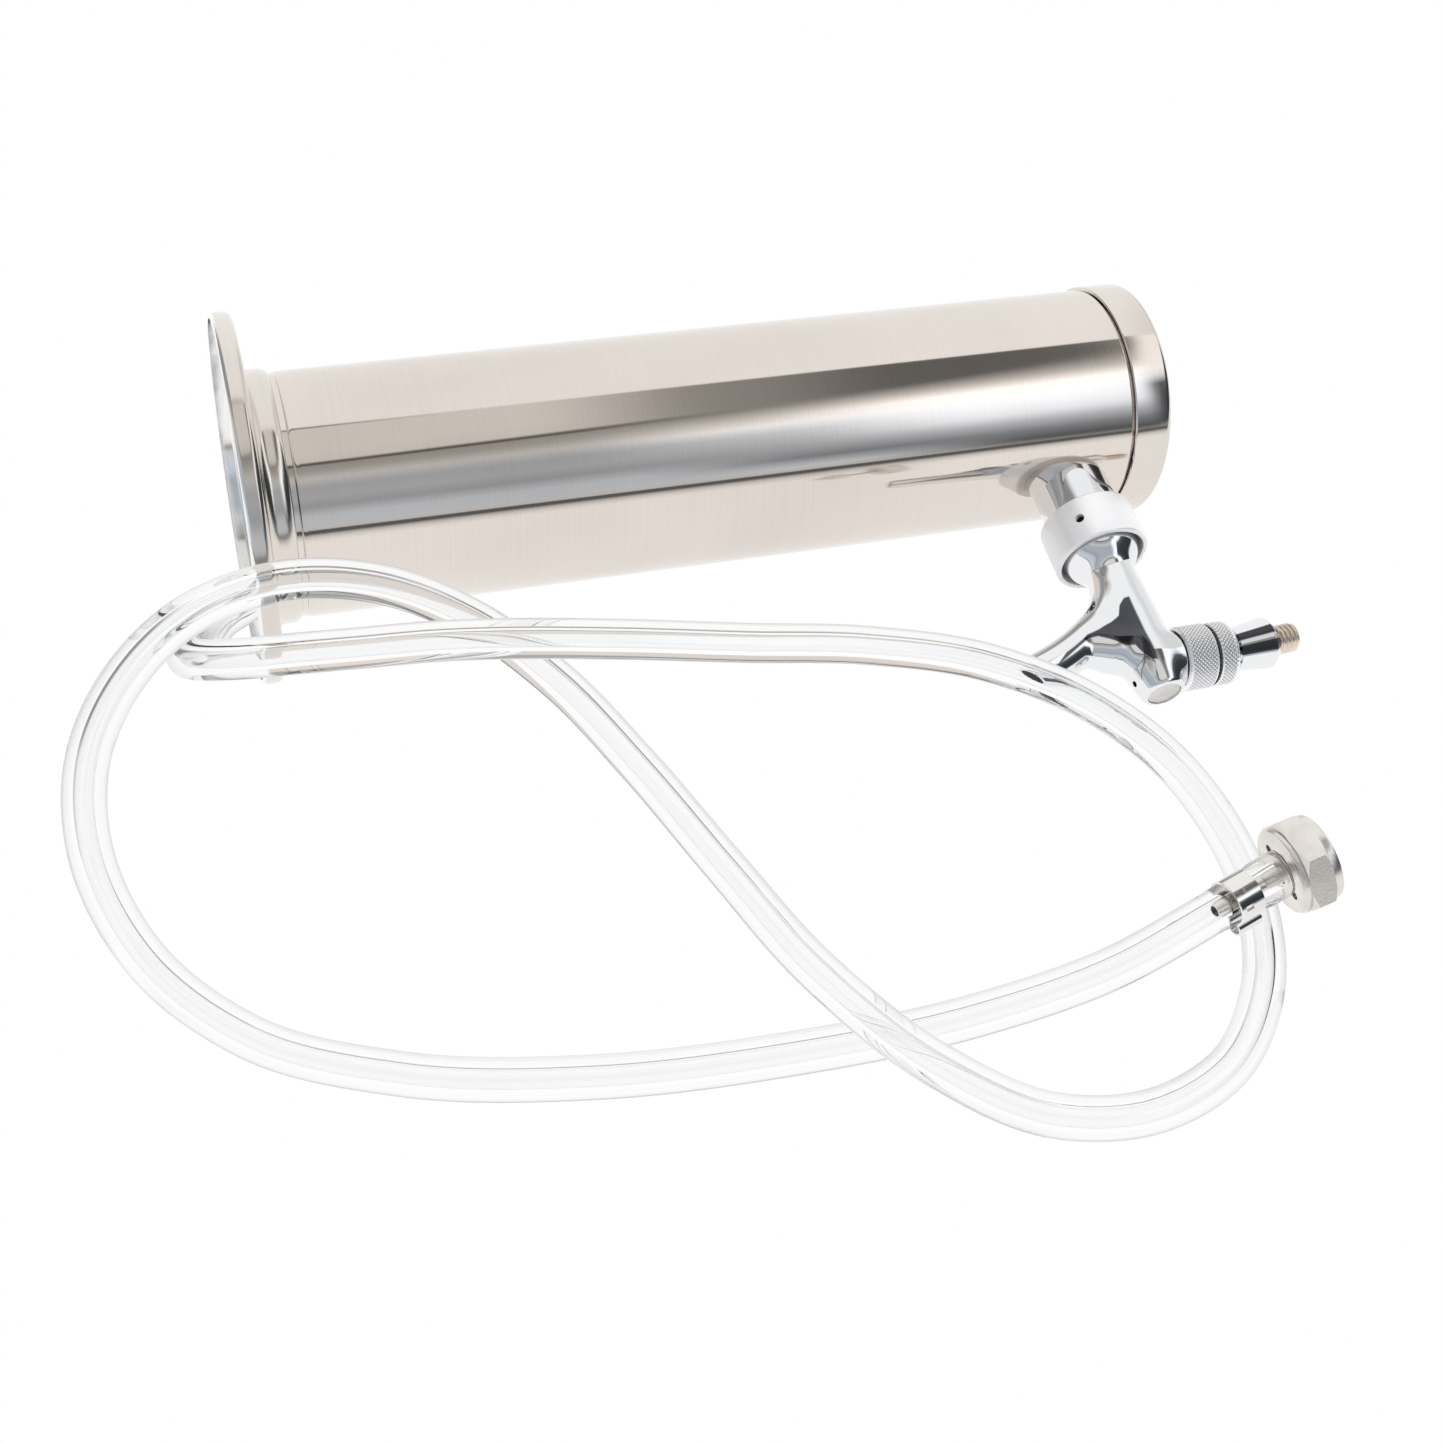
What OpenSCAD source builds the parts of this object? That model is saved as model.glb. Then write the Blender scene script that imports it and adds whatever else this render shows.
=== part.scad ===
// Draft beer tower with one faucet and its clear beer line, lying on its side.
// The tower is modelled upright in its own frame: Z = 0 is the underside of the
// flange's plate, +Z runs to the cap, -Y towards the faucet. lay_down() then places
// it as it rests on the ground. Row frame: Z = 0 is the ground, +X runs from flange to cap.

/* [Column] */
// outside diameter of the column tube
column_od = 76.2; // [60:0.1:110]
// wall of the column tube
column_wall = 1.2; // [0.8:0.1:3]
// length of the column from its foot at the flange to the cap's seam
column_len = 282; // [150:1:500]
// diameter of the base flange
flange_od = 114.3; // [90:0.1:160]
// thickness of the base flange's plate
flange_t = 2.2; // [1:0.1:8]
// depth of the flange's turned-down rim below its plate
flange_drop = 4.2; // [0.5:0.1:12]
// diameter of the neck collar that stands on the flange
collar_od = 78.6; // [77:0.1:90]
// height of the neck collar's top above the plate's underside
collar_top = 10.6; // [6:0.1:20]
// bottom of the column's full diameter, above the small groove
groove_top = 12.4; // [8:0.1:22]
// diameter of the groove between collar and column
groove_od = 75.2; // [74.2:0.1:76]
// circle of the flange's bolt holes
bolt_circle = 95; // [80:0.5:140]
// diameter of a bolt hole
bolt_hole_d = 5; // [3:0.1:9]
// number of bolt holes
bolt_count = 4; // [3:1:8]
// turn of the bolt holes from the faucet's direction
bolt_turn = 30; // [0:1:90]

/* [Cap] */
// diameter of the cap's band
cap_od = 78.2; // [70:0.1:112]
// height of the cap's band
cap_h = 13.2; // [6:0.1:30]
// wall of the cap
cap_wall = 1.2; // [0.8:0.1:3]
// depth of the spigot that enters the column
spigot_len = 4.6; // [2:0.1:12]

/* [Shank] */
// height of the shank above the plate's underside
shank_z = 264; // [120:1:480]
// outside diameter of the shank's thread
shank_od = 22.2; // [15:0.1:30]
// bore of the shank
shank_bore = 6.4; // [4:0.1:10]
// outside diameter of the adapter sleeve between column and faucet
sleeve_od = 25; // [22:0.1:40]
// distance from the column's axis to the sleeve's front face
sleeve_front = 49.5; // [45:0.1:90]
// outside diameter of the coupling nut
coupling_od = 31; // [28:0.1:45]
// distance from the column's axis to the coupling nut's front face
coupling_front = 66.4; // [60:0.1:110]

/* [Faucet] */
// distance from the column's axis to the lever's axis
lever_t = 108.5; // [90:0.5:150]
// distance from the column's axis to the front face of the barrel
barrel_front = 120.2; // [100:0.1:160]
// diameter of the front plug
plug_d = 10.8; // [8:0.1:16]
// radius of the spout's bend, at its centreline
spout_bend = 85; // [40:1:120]
// outside diameter of the spout
spout_od = 13; // [10:0.1:20]
// bore of the spout
spout_bore = 9.6; // [6:0.1:14]
// diameter of the knurled bonnet and collar
bonnet_od = 20.7; // [18:0.1:30]
// length of the knurled bonnet
bonnet_len = 10.6; // [6:0.1:16]
// length of the knurled collar
collar_len = 6.6; // [5:0.1:14]
// diameter of the lever's ball
ball_d = 11; // [8:0.1:16]
// lever ferrule's length
ferrule_len = 14.7; // [8:0.1:25]
// handle stud's diameter (3/8 inch)
stud_d = 9.52; // [6:0.01:14]
// handle stud's free length
stud_len = 8.3; // [5:0.1:25]
// how far the closed lever leans back towards the column
lever_rest = 3.8; // [0:0.1:10]

/* [Beer line] */
// outside diameter of the hose
hose_od = 12; // [8:0.1:16]
// bore of the hose
hose_id = 5; // [3:0.1:10]
// sides of the hose's rings
hose_sides = 10; // [8:1:12]

/* [Hose end] */
// beer nut's width across its flats
nut_af = 25.4; // [20:0.1:35]
// beer nut's length
nut_len = 11.8; // [9:0.1:25]
// beer nut's thread bore
nut_bore = 21.5; // [15:0.1:23]
// hose clamp's band width
clamp_w = 8; // [4:0.1:12]
// compass direction of the hose end, from +X towards +Y
end_turn = 14; // [-180:1:180]
// rise of the hose end above the horizontal
end_rise = 7; // [-45:1:45]
// compass direction of the beer nut, which hangs askew on its tailpiece
nut_turn = 5; // [-180:1:180]
// rise of the beer nut above the horizontal
nut_rise = 11; // [-45:1:45]

/* [Rest position] */
// roll of the tower that lays the faucet's bonnet on the ground
roll = 15.6; // [0:0.1:90]
// dip of the column towards the cap
dip = 3.5; // [0:0.01:10]
// flange centre's place along X
base_x = -153.9; // [-400:0.1:400]
// flange centre's place along Y
base_y = 30.6; // [-400:0.1:400]
// flange centre's height above the ground
base_z = 57.05; // [40:0.01:120]

/* [Hidden] */
$fn = 64;

column_r = column_od / 2;
column_ir = column_r - column_wall;
groove_r = groove_od / 2;
flange_r = flange_od / 2;
cap_r = cap_od / 2;
gasket_t = 0.6;
cap_z = column_len + gasket_t;
spigot_r = column_ir - 0.08;
shank_r = shank_od / 2;
coupling_r = coupling_od / 2;
coupling_thread_r = 13.8;
coupling_rear = sleeve_front + 0.5;
coupling_wall = 3;
collar_bore_r = 12.3;
shank_head_r = 13.5;
hose_r = hose_od / 2;
bore_r = hose_id / 2;

// distances along the faucet's barrel, from the column's axis
shank_rear = 12;
shank_end = 56;
body_rear = 57;
seat_t = 72;
guide_t = 97;
plug_rear = 116.5;
seat_bore_r = 4.9;
chamber_r = 6.4;
guide_r = 4.05;
shaft_r = 4;
rod_r = 3.2;

// heights along the lever's axis, from the plate's underside
bonnet_z = 272.6;
seal_z = bonnet_z + bonnet_len;
seal_t = 0.5;
collar_z = seal_z + seal_t;
collar_end = collar_z + collar_len;
pivot_z = 286;
washer_z = 281.5;
ferrule_z = 292.6;
stud_z = 298;
ball_r = ball_d / 2;
ball_gap = 0.05;
bonnet_r = bonnet_od / 2;
spigot_body_r = 9.2;
neck_r = 3.2;
stem_r = 2.5;
stem_drop = 23;
stud_r = stud_d / 2;
stud_root_r = 4.5;

// hose end: centre of the beer nut's rear face, in the row frame
nut_rear = [97.3, -174.5, 21];
nut_wall = 3;
nut_hole_r = 6.6;
hose_end_back = 1.5;
clamp_back = 15.4;
tail_r = 5.1;
tail_bore_r = 1.6;
tail_flange_z = 4.9;
tail_flange_t = 1.2;

// where the hose leaves the column's foot, in the tower's frame
mouth = [16.6, -24, 0];
mouth_dir = [-0.14, -0.58, -0.8];
barb_z = 236;

// the free hose's course from the mouth to the nut, in the row frame
route = [
    [-168, 3, 35], [-175.5, -10.5, 38], [-180, -23.5, 45], [-178, -37, 53],
    [-166.5, -47, 58.5], [-150.5, -52.5, 61], [-132, -56, 61.5], [-112.5, -59, 61.5],
    [-92, -62, 60], [-61, -66.5, 56], [-24.5, -69, 48], [13.5, -71, 39.5],
    [48.5, -79, 31], [75.5, -96, 22.5], [92, -119, 14.5], [97.5, -146, 8.2],
    [92.9, -175, 6], [79.5, -202, 6], [58.5, -222, 6.1], [33, -228.5, 6.2],
    [9, -223, 7.8], [-15, -205, 14.6], [-36, -172.5, 21.5], [-49.5, -133, 25.5],
    [-63.5, -95, 33], [-79.5, -63.5, 43], [-99, -41.5, 53], [-124, -32, 64.5],
    [-152, -31.4, 70.7], [-178.5, -40.5, 70.5], [-197.5, -56.5, 65], [-209, -76.5, 57],
    [-212, -98.5, 43.5], [-204, -119, 24], [-182, -141.5, 10.5], [-146, -162, 6.6],
    [-99, -177, 6.2], [-47, -184.5, 6.1], [2.5, -187, 6.9], [44, -186, 12.3]];

// ---- placement ----

module lay_down() {
    translate([base_x, base_y, base_z])
        rotate([0, 90 + dip, 0])
            rotate([0, 0, roll])
                children();
}

function spin_z(p, a) = [p.x * cos(a) - p.y * sin(a), p.x * sin(a) + p.y * cos(a), p.z];
function spin_y(p, a) = [p.x * cos(a) + p.z * sin(a), p.y, p.z * cos(a) - p.x * sin(a)];
function tower_dir(p) = spin_y(spin_z(p, roll), 90 + dip);
function tower_pt(p) = [base_x, base_y, base_z] + tower_dir(p);

// turns +Z to the faucet's direction, at the shank's height
module along_front() {
    translate([0, 0, shank_z])
        rotate([90, 0, 0])
            children();
}

// stands +Z on the lever's axis, which runs beside the column
module on_lever_axis() {
    translate([0, -lever_t, 0])
        children();
}

// leans what stands above the lever's ball back, as in the closed position
module leaning_back() {
    translate([0, 0, pivot_z])
        rotate([-lever_rest, 0, 0])
            translate([0, 0, -pivot_z])
                children();
}

// the hose's end, with +Z out of it and Z = 0 at the beer nut's rear face
end_dir = [cos(end_rise) * cos(end_turn), cos(end_rise) * sin(end_turn), sin(end_rise)];
module at_hose_end() {
    translate(nut_rear)
        rotate([0, 90 - end_rise, end_turn])
            children();
}

// the beer nut's own axis, askew to the hose's end
module on_nut_axis() {
    translate(nut_rear)
        rotate([0, 90 - nut_rise, nut_turn])
            children();
}

module ring(r_out, r_in, z0, z1) {
    translate([0, 0, z0])
        difference() {
            cylinder(r = r_out, h = z1 - z0);
            translate([0, 0, -1])
                cylinder(r = r_in, h = z1 - z0 + 2);
        }
}

// ---- swept hose ----

function unit(v) = v / norm(v);

// tangent at a route point, weighted by the lengths of its two legs
function leg_tangent(p, i) =
    let (a = norm(p[i] - p[i - 1]), b = norm(p[i + 1] - p[i]))
    ((p[i] - p[i - 1]) * (b / a) + (p[i + 1] - p[i]) * (a / b)) / (a + b);
function tangents(p, t0, t1) =
    [for (i = [0:len(p) - 1]) i == 0 ? t0 : i == len(p) - 1 ? t1 : leg_tangent(p, i)];
function hermite(a, b, ta, tb, u) =
    let (d = norm(b - a), v = u * u, w = u * u * u)
    a * (2 * w - 3 * v + 1) + ta * d * (w - 2 * v + u)
    + b * (3 * v - 2 * w) + tb * d * (w - v);
function smooth_line(p, t, steps) = concat(
    [for (i = [0:len(p) - 2], k = [0:steps - 1])
        hermite(p[i], p[i + 1], t[i], t[i + 1], k / steps)],
    [p[len(p) - 1]]);
function ring_pts(c, dir, ref, r) =
    let (s = unit(cross(ref, dir)), n = unit(cross(dir, s)))
    [for (k = [0:hose_sides - 1])
        c + r * (cos(360 * k / hose_sides) * s + sin(360 * k / hose_sides) * n)];

// one tube along a line of points: outer rings, inner rings and two end faces
module swept_tube(line, t0, t1, ref) {
    n = len(line);
    m = hose_sides;
    dirs = [for (i = [0:n - 1])
        i == 0 ? unit(t0) : i == n - 1 ? unit(t1) : unit(line[i + 1] - line[i - 1])];
    outer = [for (i = [0:n - 1]) each ring_pts(line[i], dirs[i], ref, hose_r)];
    inner = [for (i = [0:n - 1]) each ring_pts(line[i], dirs[i], ref, bore_r)];
    o = n * m;
    walls = [for (i = [0:n - 2], k = [0:m - 1])
        let (a = i * m + k, b = i * m + (k + 1) % m)
        each [[a, b + m, b], [a, a + m, b + m],
            [o + a, o + b, o + b + m], [o + a, o + b + m, o + a + m]]];
    e = (n - 1) * m;
    ends = [for (k = [0:m - 1])
        let (k2 = (k + 1) % m)
        each [[k, k2, o + k2], [k, o + k2, o + k],
            [e + k, o + e + k2, e + k2], [e + k, o + e + k, o + e + k2]]];
    polyhedron(points = concat(outer, inner), faces = concat(walls, ends), convexity = 12);
}

// ---- column ----

module base_flange() {
    collar_r = collar_od / 2;
    fillet = 3.5;
    rim_wall = 1.6;
    round_r = flange_t;
    color([0.74, 0.72, 0.69])
        lay_down()
            difference() {
                rotate_extrude($fn = 96)
                    polygon([[groove_r, 0], [flange_r - rim_wall, 0],
                        [flange_r - rim_wall, -flange_drop],
                        [flange_r - 0.4, -flange_drop], [flange_r, 0.4 - flange_drop],
                        [flange_r, 0],
                        [flange_r - round_r * 0.076, round_r * 0.383],
                        [flange_r - round_r * 0.293, round_r * 0.707],
                        [flange_r - round_r * 0.617, round_r * 0.924],
                        [flange_r - round_r, flange_t],
                        [collar_r + fillet, flange_t],
                        [collar_r + fillet * 0.293, flange_t + fillet * 0.293],
                        [collar_r, flange_t + fillet],
                        [collar_r, collar_top - 0.9],
                        [collar_r - 0.3, collar_top - 0.3],
                        [collar_r - 1, collar_top],
                        [groove_r, collar_top]]);
                for (i = [0:bolt_count - 1])
                    rotate([0, 0, -90 + bolt_turn + i * 360 / bolt_count])
                        translate([bolt_circle / 2, 0, -1])
                            cylinder(d = bolt_hole_d, h = flange_t + 2);
            }
}

module column_tube() {
    edge = 0.6;
    color([0.76, 0.74, 0.71])
        lay_down()
            difference() {
                rotate_extrude($fn = 96)
                    polygon([[column_ir, 0], [groove_r, 0], [groove_r, groove_top],
                        [column_r - edge * 0.3, groove_top + edge * 0.3],
                        [column_r, groove_top + edge],
                        [column_r, column_len - 0.3],
                        [column_r - 0.3, column_len],
                        [column_ir, column_len]]);
                along_front()
                    translate([0, 0, 20])
                        cylinder(r = shank_r, h = column_r);
            }
}

module top_cap() {
    top = cap_z + cap_h;
    round_r = 2;
    gap = 2 * gasket_t;
    color([0.78, 0.76, 0.73])
        lay_down()
            rotate_extrude($fn = 96)
                polygon([[0, top], [cap_r - round_r, top],
                    [cap_r - round_r * 0.617, top - round_r * 0.076],
                    [cap_r - round_r * 0.293, top - round_r * 0.293],
                    [cap_r - round_r * 0.076, top - round_r * 0.617],
                    [cap_r, top - round_r],
                    [cap_r, cap_z + 0.3], [cap_r - 0.3, cap_z],
                    [spigot_r, cap_z], [spigot_r, column_len - gap],
                    [spigot_r - 1, column_len - gap],
                    [spigot_r - 1, column_len - spigot_len + 0.6],
                    [spigot_r, column_len - spigot_len + 0.6],
                    [spigot_r, column_len - spigot_len],
                    [spigot_r - 2.2, column_len - spigot_len],
                    [spigot_r - 2.2, cap_z + cap_wall],
                    [cap_r - cap_wall, cap_z + cap_wall],
                    [cap_r - cap_wall, top - round_r],
                    [cap_r - round_r, top - cap_wall],
                    [0, top - cap_wall]]);
}

module cap_gasket() {
    z0 = column_len - spigot_len + 0.8;
    color([0.12, 0.12, 0.12])
        lay_down()
            ring(spigot_r + 0.04, spigot_r - 1, z0, column_len - 2 * gasket_t - 0.2);
}

// ---- shank ----

module shank_sleeve() {
    color([0.8, 0.78, 0.76])
        lay_down()
            difference() {
                along_front()
                    ring(sleeve_od / 2, shank_r, column_r - 6, sleeve_front);
                cylinder(r = column_r, h = column_len + 20);
            }
}

module faucet_shank() {
    color([0.8, 0.79, 0.76])
        lay_down()
            along_front()
                rotate_extrude()
                    polygon([[shank_bore / 2, shank_rear], [shank_r, shank_rear],
                        [shank_r, sleeve_front], [collar_bore_r, sleeve_front],
                        [collar_bore_r, coupling_rear + coupling_wall],
                        [shank_head_r, coupling_rear + coupling_wall],
                        [shank_head_r, shank_end], [shank_bore / 2, shank_end]]);
}

module shank_washer() {
    washer_r = 13;
    washer_rear = 28;
    color([0.85, 0.85, 0.86])
        lay_down()
            intersection() {
                along_front()
                    ring(washer_r, shank_r, washer_rear, column_r);
                cylinder(r = column_ir, h = column_len);
            }
}

module shank_nut() {
    across_flats = 28;
    nut_t = 8;
    rear = 20;
    color([0.72, 0.68, 0.55])
        lay_down()
            along_front()
                translate([0, 0, rear])
                    difference() {
                        cylinder(d = across_flats / cos(30), h = nut_t, $fn = 6);
                        translate([0, 0, -1])
                            cylinder(r = shank_r, h = nut_t + 2);
                    }
}

module elbow_tail() {
    collar_r = 9;
    collar_t = 4;
    body_r = 6;
    barb_len = 15;
    color([0.75, 0.72, 0.66])
        lay_down()
            difference() {
                union() {
                    along_front() {
                        translate([0, 0, shank_rear - collar_t])
                            cylinder(r = collar_r, h = collar_t);
                        cylinder(r = body_r, h = shank_rear - collar_t + 1);
                    }
                    translate([0, 0, shank_z])
                        sphere(r = body_r);
                    translate([0, 0, barb_z + barb_len])
                        cylinder(r = body_r, h = shank_z - barb_z - barb_len);
                    translate([0, 0, barb_z])
                        cylinder(r = bore_r, h = barb_len + 1);
                }
                along_front()
                    cylinder(r = tail_bore_r, h = shank_rear + 1);
                translate([0, 0, barb_z - 1])
                    cylinder(r = tail_bore_r, h = shank_z - barb_z + 1);
            }
}

// a crimped ring clamp with one raised ear, about +Z, its band centred on z = 0
module ear_clamp(r_in) {
    band = 0.7;
    ear_r = 2.6;
    ear_x = r_in + 1.4;
    translate([0, 0, -clamp_w / 2])
        difference() {
            union() {
                cylinder(r = r_in + band, h = clamp_w);
                translate([ear_x, 0, 0])
                    cylinder(r = ear_r, h = clamp_w, $fn = 32);
            }
            translate([0, 0, -1])
                cylinder(r = r_in, h = clamp_w + 2);
            translate([ear_x, 0, -1])
                cylinder(r = ear_r - band, h = clamp_w + 2, $fn = 32);
        }
}

module inner_clamp() {
    color([0.82, 0.82, 0.82])
        lay_down()
            translate([0, 0, barb_z + 7])
                ear_clamp(hose_r);
}

module inner_hose() {
    down = [0, 0, -1];
    course = [[0, 0, barb_z + 15], [0, 0, barb_z - 6], [0, 0, barb_z - 60],
        [7, -7, 110], [14, -14.5, 50], [16.8, -18.8, 14], mouth];
    line = smooth_line(course, tangents(course, down, unit(mouth_dir)), 3);
    color([0.9, 0.9, 0.92, 0.5])
        lay_down()
            swept_tube(line, down, mouth_dir, [0, 1, 0]);
}

// ---- faucet ----

module coupling_nut() {
    hole_r = 1.5;
    edge = 1.2;
    color([0.82, 0.81, 0.79])
        lay_down()
            along_front()
                difference() {
                    rotate_extrude()
                        polygon([[collar_bore_r, coupling_rear],
                            [coupling_r - edge, coupling_rear],
                            [coupling_r - edge * 0.3, coupling_rear + edge * 0.3],
                            [coupling_r, coupling_rear + edge],
                            [coupling_r, coupling_front - edge],
                            [coupling_r - edge * 0.3, coupling_front - edge * 0.3],
                            [coupling_r - edge, coupling_front],
                            [coupling_thread_r, coupling_front],
                            [coupling_thread_r, coupling_rear + coupling_wall],
                            [collar_bore_r, coupling_rear + coupling_wall]]);
                    for (a = [215, 335, 95])
                        rotate([0, 0, a])
                            translate([coupling_thread_r - 1, 0, coupling_rear + 8])
                                rotate([0, 90, 0])
                                    cylinder(r = hole_r, h = 4, $fn = 32);
                }
}

module coupling_gasket() {
    color([0.15, 0.15, 0.15])
        lay_down()
            along_front()
                ring(12, 6.4, shank_end, body_rear);
}

// wedge that the lever's stem swings in, below its ball
module stem_wedge() {
    low = shank_z - 5;
    width = 7.2;
    rotate([90, 0, -90])
        translate([0, 0, -width / 2])
            linear_extrude(height = width)
                polygon([[3.4, pivot_z - 1], [-4, pivot_z - 1], [-11.6, low],
                    [3.4, low]]);
}

module faucet_body() {
    waist_r = 8.5;
    belly_r = 9.2;
    boss_r = 6.7;
    fairing = [0, -3, 98];
    fairing_r = 9.6;
    web = [0, -11, 101];
    web_r = 8.6;
    seat_h = 3;
    vent_t = 115;
    vent_r = 1.2;
    color([0.83, 0.82, 0.8])
        lay_down()
            difference() {
                union() {
                    along_front()
                        rotate_extrude()
                            polygon([[0, body_rear], [coupling_thread_r, body_rear],
                                [coupling_thread_r, coupling_front],
                                [waist_r + 3, coupling_front + 1.4],
                                [waist_r + 1.1, coupling_front + 4],
                                [waist_r + 0.1, coupling_front + 8],
                                [waist_r, coupling_front + 13],
                                [belly_r - 0.4, guide_t - 7], [belly_r, guide_t + 3],
                                [belly_r - 0.2, barrel_front - 8.2],
                                [belly_r - 1.1, barrel_front - 4.2],
                                [belly_r - 1.9, barrel_front - 1.2],
                                [boss_r, barrel_front], [0, barrel_front]]);
                    on_lever_axis()
                        translate([0, 0, shank_z])
                            cylinder(r = spigot_body_r, h = washer_z - shank_z);
                    spout_arc(spout_od / 2);
                    along_front() {
                        translate(fairing)
                            sphere(r = fairing_r);
                        translate(web)
                            sphere(r = web_r);
                    }
                }
                along_front() {
                    translate([0, 0, body_rear - 1])
                        cylinder(r = chamber_r, h = seat_t - body_rear + 1);
                    translate([0, 0, seat_t - 1])
                        cylinder(r = seat_bore_r, h = guide_t - seat_t + 1);
                    translate([0, 0, guide_t - 1])
                        cylinder(r = guide_r, h = plug_rear - guide_t + 1.5);
                    translate([0, 0, plug_rear])
                        cylinder(d = plug_d, h = 10);
                    translate([0, 0, vent_t])
                        rotate([90, 0, 0])
                            cylinder(r = vent_r, h = 12, $fn = 32);
                }
                on_lever_axis() {
                    stem_wedge();
                    ring(bonnet_r + 0.4, spigot_body_r, bonnet_z, bonnet_z + seat_h);
                }
                spout_arc(spout_bore / 2);
            }
}

// the spout's bend: a torus sector that starts inside the barrel
module spout_arc(r) {
    start = 46;
    sweep = 30;
    root_t = 84;
    root_drop = 2.5;
    translate([0, spout_bend * cos(start) - root_t,
        shank_z - root_drop - spout_bend * sin(start)])
        rotate([90, 0, 90])
            rotate([0, 0, 180 - start])
                rotate_extrude(angle = sweep)
                    translate([spout_bend, 0])
                        circle(r = r);
}

module front_plug() {
    color([0.62, 0.59, 0.54])
        lay_down()
            along_front()
                translate([0, 0, plug_rear])
                    cylinder(d = plug_d, h = barrel_front - plug_rear - 0.3);
}

module faucet_shaft() {
    slot_w = 5.6;
    slot_back = 3.3;
    slot_floor = -2.4;
    slot_front = 4;
    color([0.8, 0.8, 0.78])
        lay_down()
            along_front()
                difference() {
                    rotate_extrude()
                        polygon([[0, 66], [5, 66], [5, 68.5], [rod_r, 68.5],
                            [rod_r, guide_t + 1], [shaft_r, guide_t + 1.8],
                            [shaft_r, 116], [0, 116]]);
                    translate([-slot_w / 2, slot_floor, lever_t - slot_back])
                        cube([slot_w, 10, slot_back + slot_front]);
                }
}

module seat_washer() {
    color([0.1, 0.1, 0.1])
        lay_down()
            along_front()
                ring(6, rod_r, 68.5, seat_t - 0.02);
}

module lever() {
    color([0.8, 0.79, 0.76])
        lay_down()
            on_lever_axis() {
                translate([0, 0, pivot_z])
                    sphere(r = ball_r);
                translate([0, 0, pivot_z - stem_drop + 1])
                    cylinder(r = stem_r, h = stem_drop - 1);
                translate([0, 0, pivot_z - stem_drop])
                    cylinder(r1 = stem_r - 0.8, r2 = stem_r, h = 1);
                leaning_back()
                    translate([0, 0, pivot_z])
                        cylinder(r = neck_r, h = stud_z - pivot_z);
            }
}

module ball_washer() {
    color([0.92, 0.92, 0.9])
        lay_down()
            on_lever_axis()
                difference() {
                    ring(spigot_body_r, 4.6, washer_z, seal_z);
                    translate([0, 0, pivot_z])
                        sphere(r = ball_r + ball_gap);
                }
}

module lever_bonnet() {
    edge = 0.6;
    color([0.7, 0.69, 0.67])
        lay_down()
            on_lever_axis()
                rotate_extrude()
                    polygon([[spigot_body_r, bonnet_z], [bonnet_r - edge, bonnet_z],
                        [bonnet_r, bonnet_z + edge], [bonnet_r, seal_z - edge],
                        [bonnet_r - edge, seal_z], [spigot_body_r, seal_z]]);
}

module bonnet_seal_ring() {
    color([0.08, 0.08, 0.08])
        lay_down()
            on_lever_axis()
                ring(bonnet_r - 0.5, 6.2, seal_z, collar_z);
}

module bonnet_collar() {
    lip_z = 288.5;
    lip_r = 4.96;
    seat_ring_r = 6.2;
    dish_z = 289.4;
    dish_r = 7.4;
    rim_r = 8.3;
    top_r = 9.3;
    color([0.7, 0.69, 0.67])
        lay_down()
            on_lever_axis()
                difference() {
                    rotate_extrude()
                        polygon([[0, collar_z], [bonnet_r - 0.8, collar_z],
                            [bonnet_r - 0.2, collar_z + 0.6],
                            [bonnet_r - 0.2, collar_end - 1.4],
                            [bonnet_r - 0.5, collar_end - 0.6],
                            [top_r, collar_end], [0, collar_end]]);
                    translate([0, 0, collar_z - 1])
                        cylinder(r = seat_ring_r, h = pivot_z - collar_z + 1);
                    translate([0, 0, pivot_z])
                        sphere(r = ball_r + ball_gap);
                    translate([0, 0, lip_z - 1])
                        cylinder(r = lip_r, h = 3);
                    translate([0, 0, dish_z])
                        cylinder(r1 = dish_r, r2 = rim_r, h = collar_end - dish_z);
                }
}

module lever_ferrule() {
    top = ferrule_z + ferrule_len;
    shoulder = top - 2.8;
    color([0.78, 0.76, 0.73])
        lay_down()
            on_lever_axis()
                leaning_back()
                    rotate_extrude()
                        polygon([[neck_r, ferrule_z], [6.85, ferrule_z],
                            [8.3, shoulder], [6, top], [stud_root_r, top],
                            [stud_root_r, stud_z], [neck_r, stud_z]]);
}

module handle_stud() {
    foot = ferrule_z + ferrule_len;
    top = foot + stud_len;
    color([0.72, 0.55, 0.42])
        lay_down()
            on_lever_axis()
                leaning_back()
                    rotate_extrude()
                        polygon([[0, stud_z], [stud_root_r, stud_z],
                            [stud_root_r, foot], [stud_r, foot], [stud_r, top - 1],
                            [stud_r - 1, top], [0, top]]);
}

// ---- beer line and its end ----

out_dir = tower_dir(unit(mouth_dir));
course = concat([tower_pt(mouth)], route,
    [for (back = [26, hose_end_back]) nut_rear - back * end_dir]);

function course_line(steps) =
    smooth_line(course, tangents(course, out_dir, end_dir), steps);
function least_apart(p, skip) =
    min([for (i = [0:len(p) - 1 - skip], j = [i + skip:len(p) - 1]) norm(p[i] - p[j])]);
function line_length(p) = [for (i = [1:len(p) - 1]) norm(p[i] - p[i - 1])]
    * [for (i = [1:len(p) - 1]) 1];

// prints the hose's free length and its least gap to itself, away from its bends
module measure_course() {
    steps = 6;
    skip = 24;
    p = course_line(steps);
    echo(free_length = line_length(p), least_gap = least_apart(p, skip) - hose_od);
}
measure_course();

module beer_line() {
    color([0.9, 0.9, 0.92, 0.5])
        swept_tube(course_line(2), out_dir, end_dir, [0, 0, 1]);
}

module hose_clamp() {
    ear_turn = 330;
    color([0.82, 0.82, 0.82])
        at_hose_end()
            translate([0, 0, -clamp_back])
                rotate([0, 0, ear_turn])
                    ear_clamp(hose_r);
}

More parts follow.
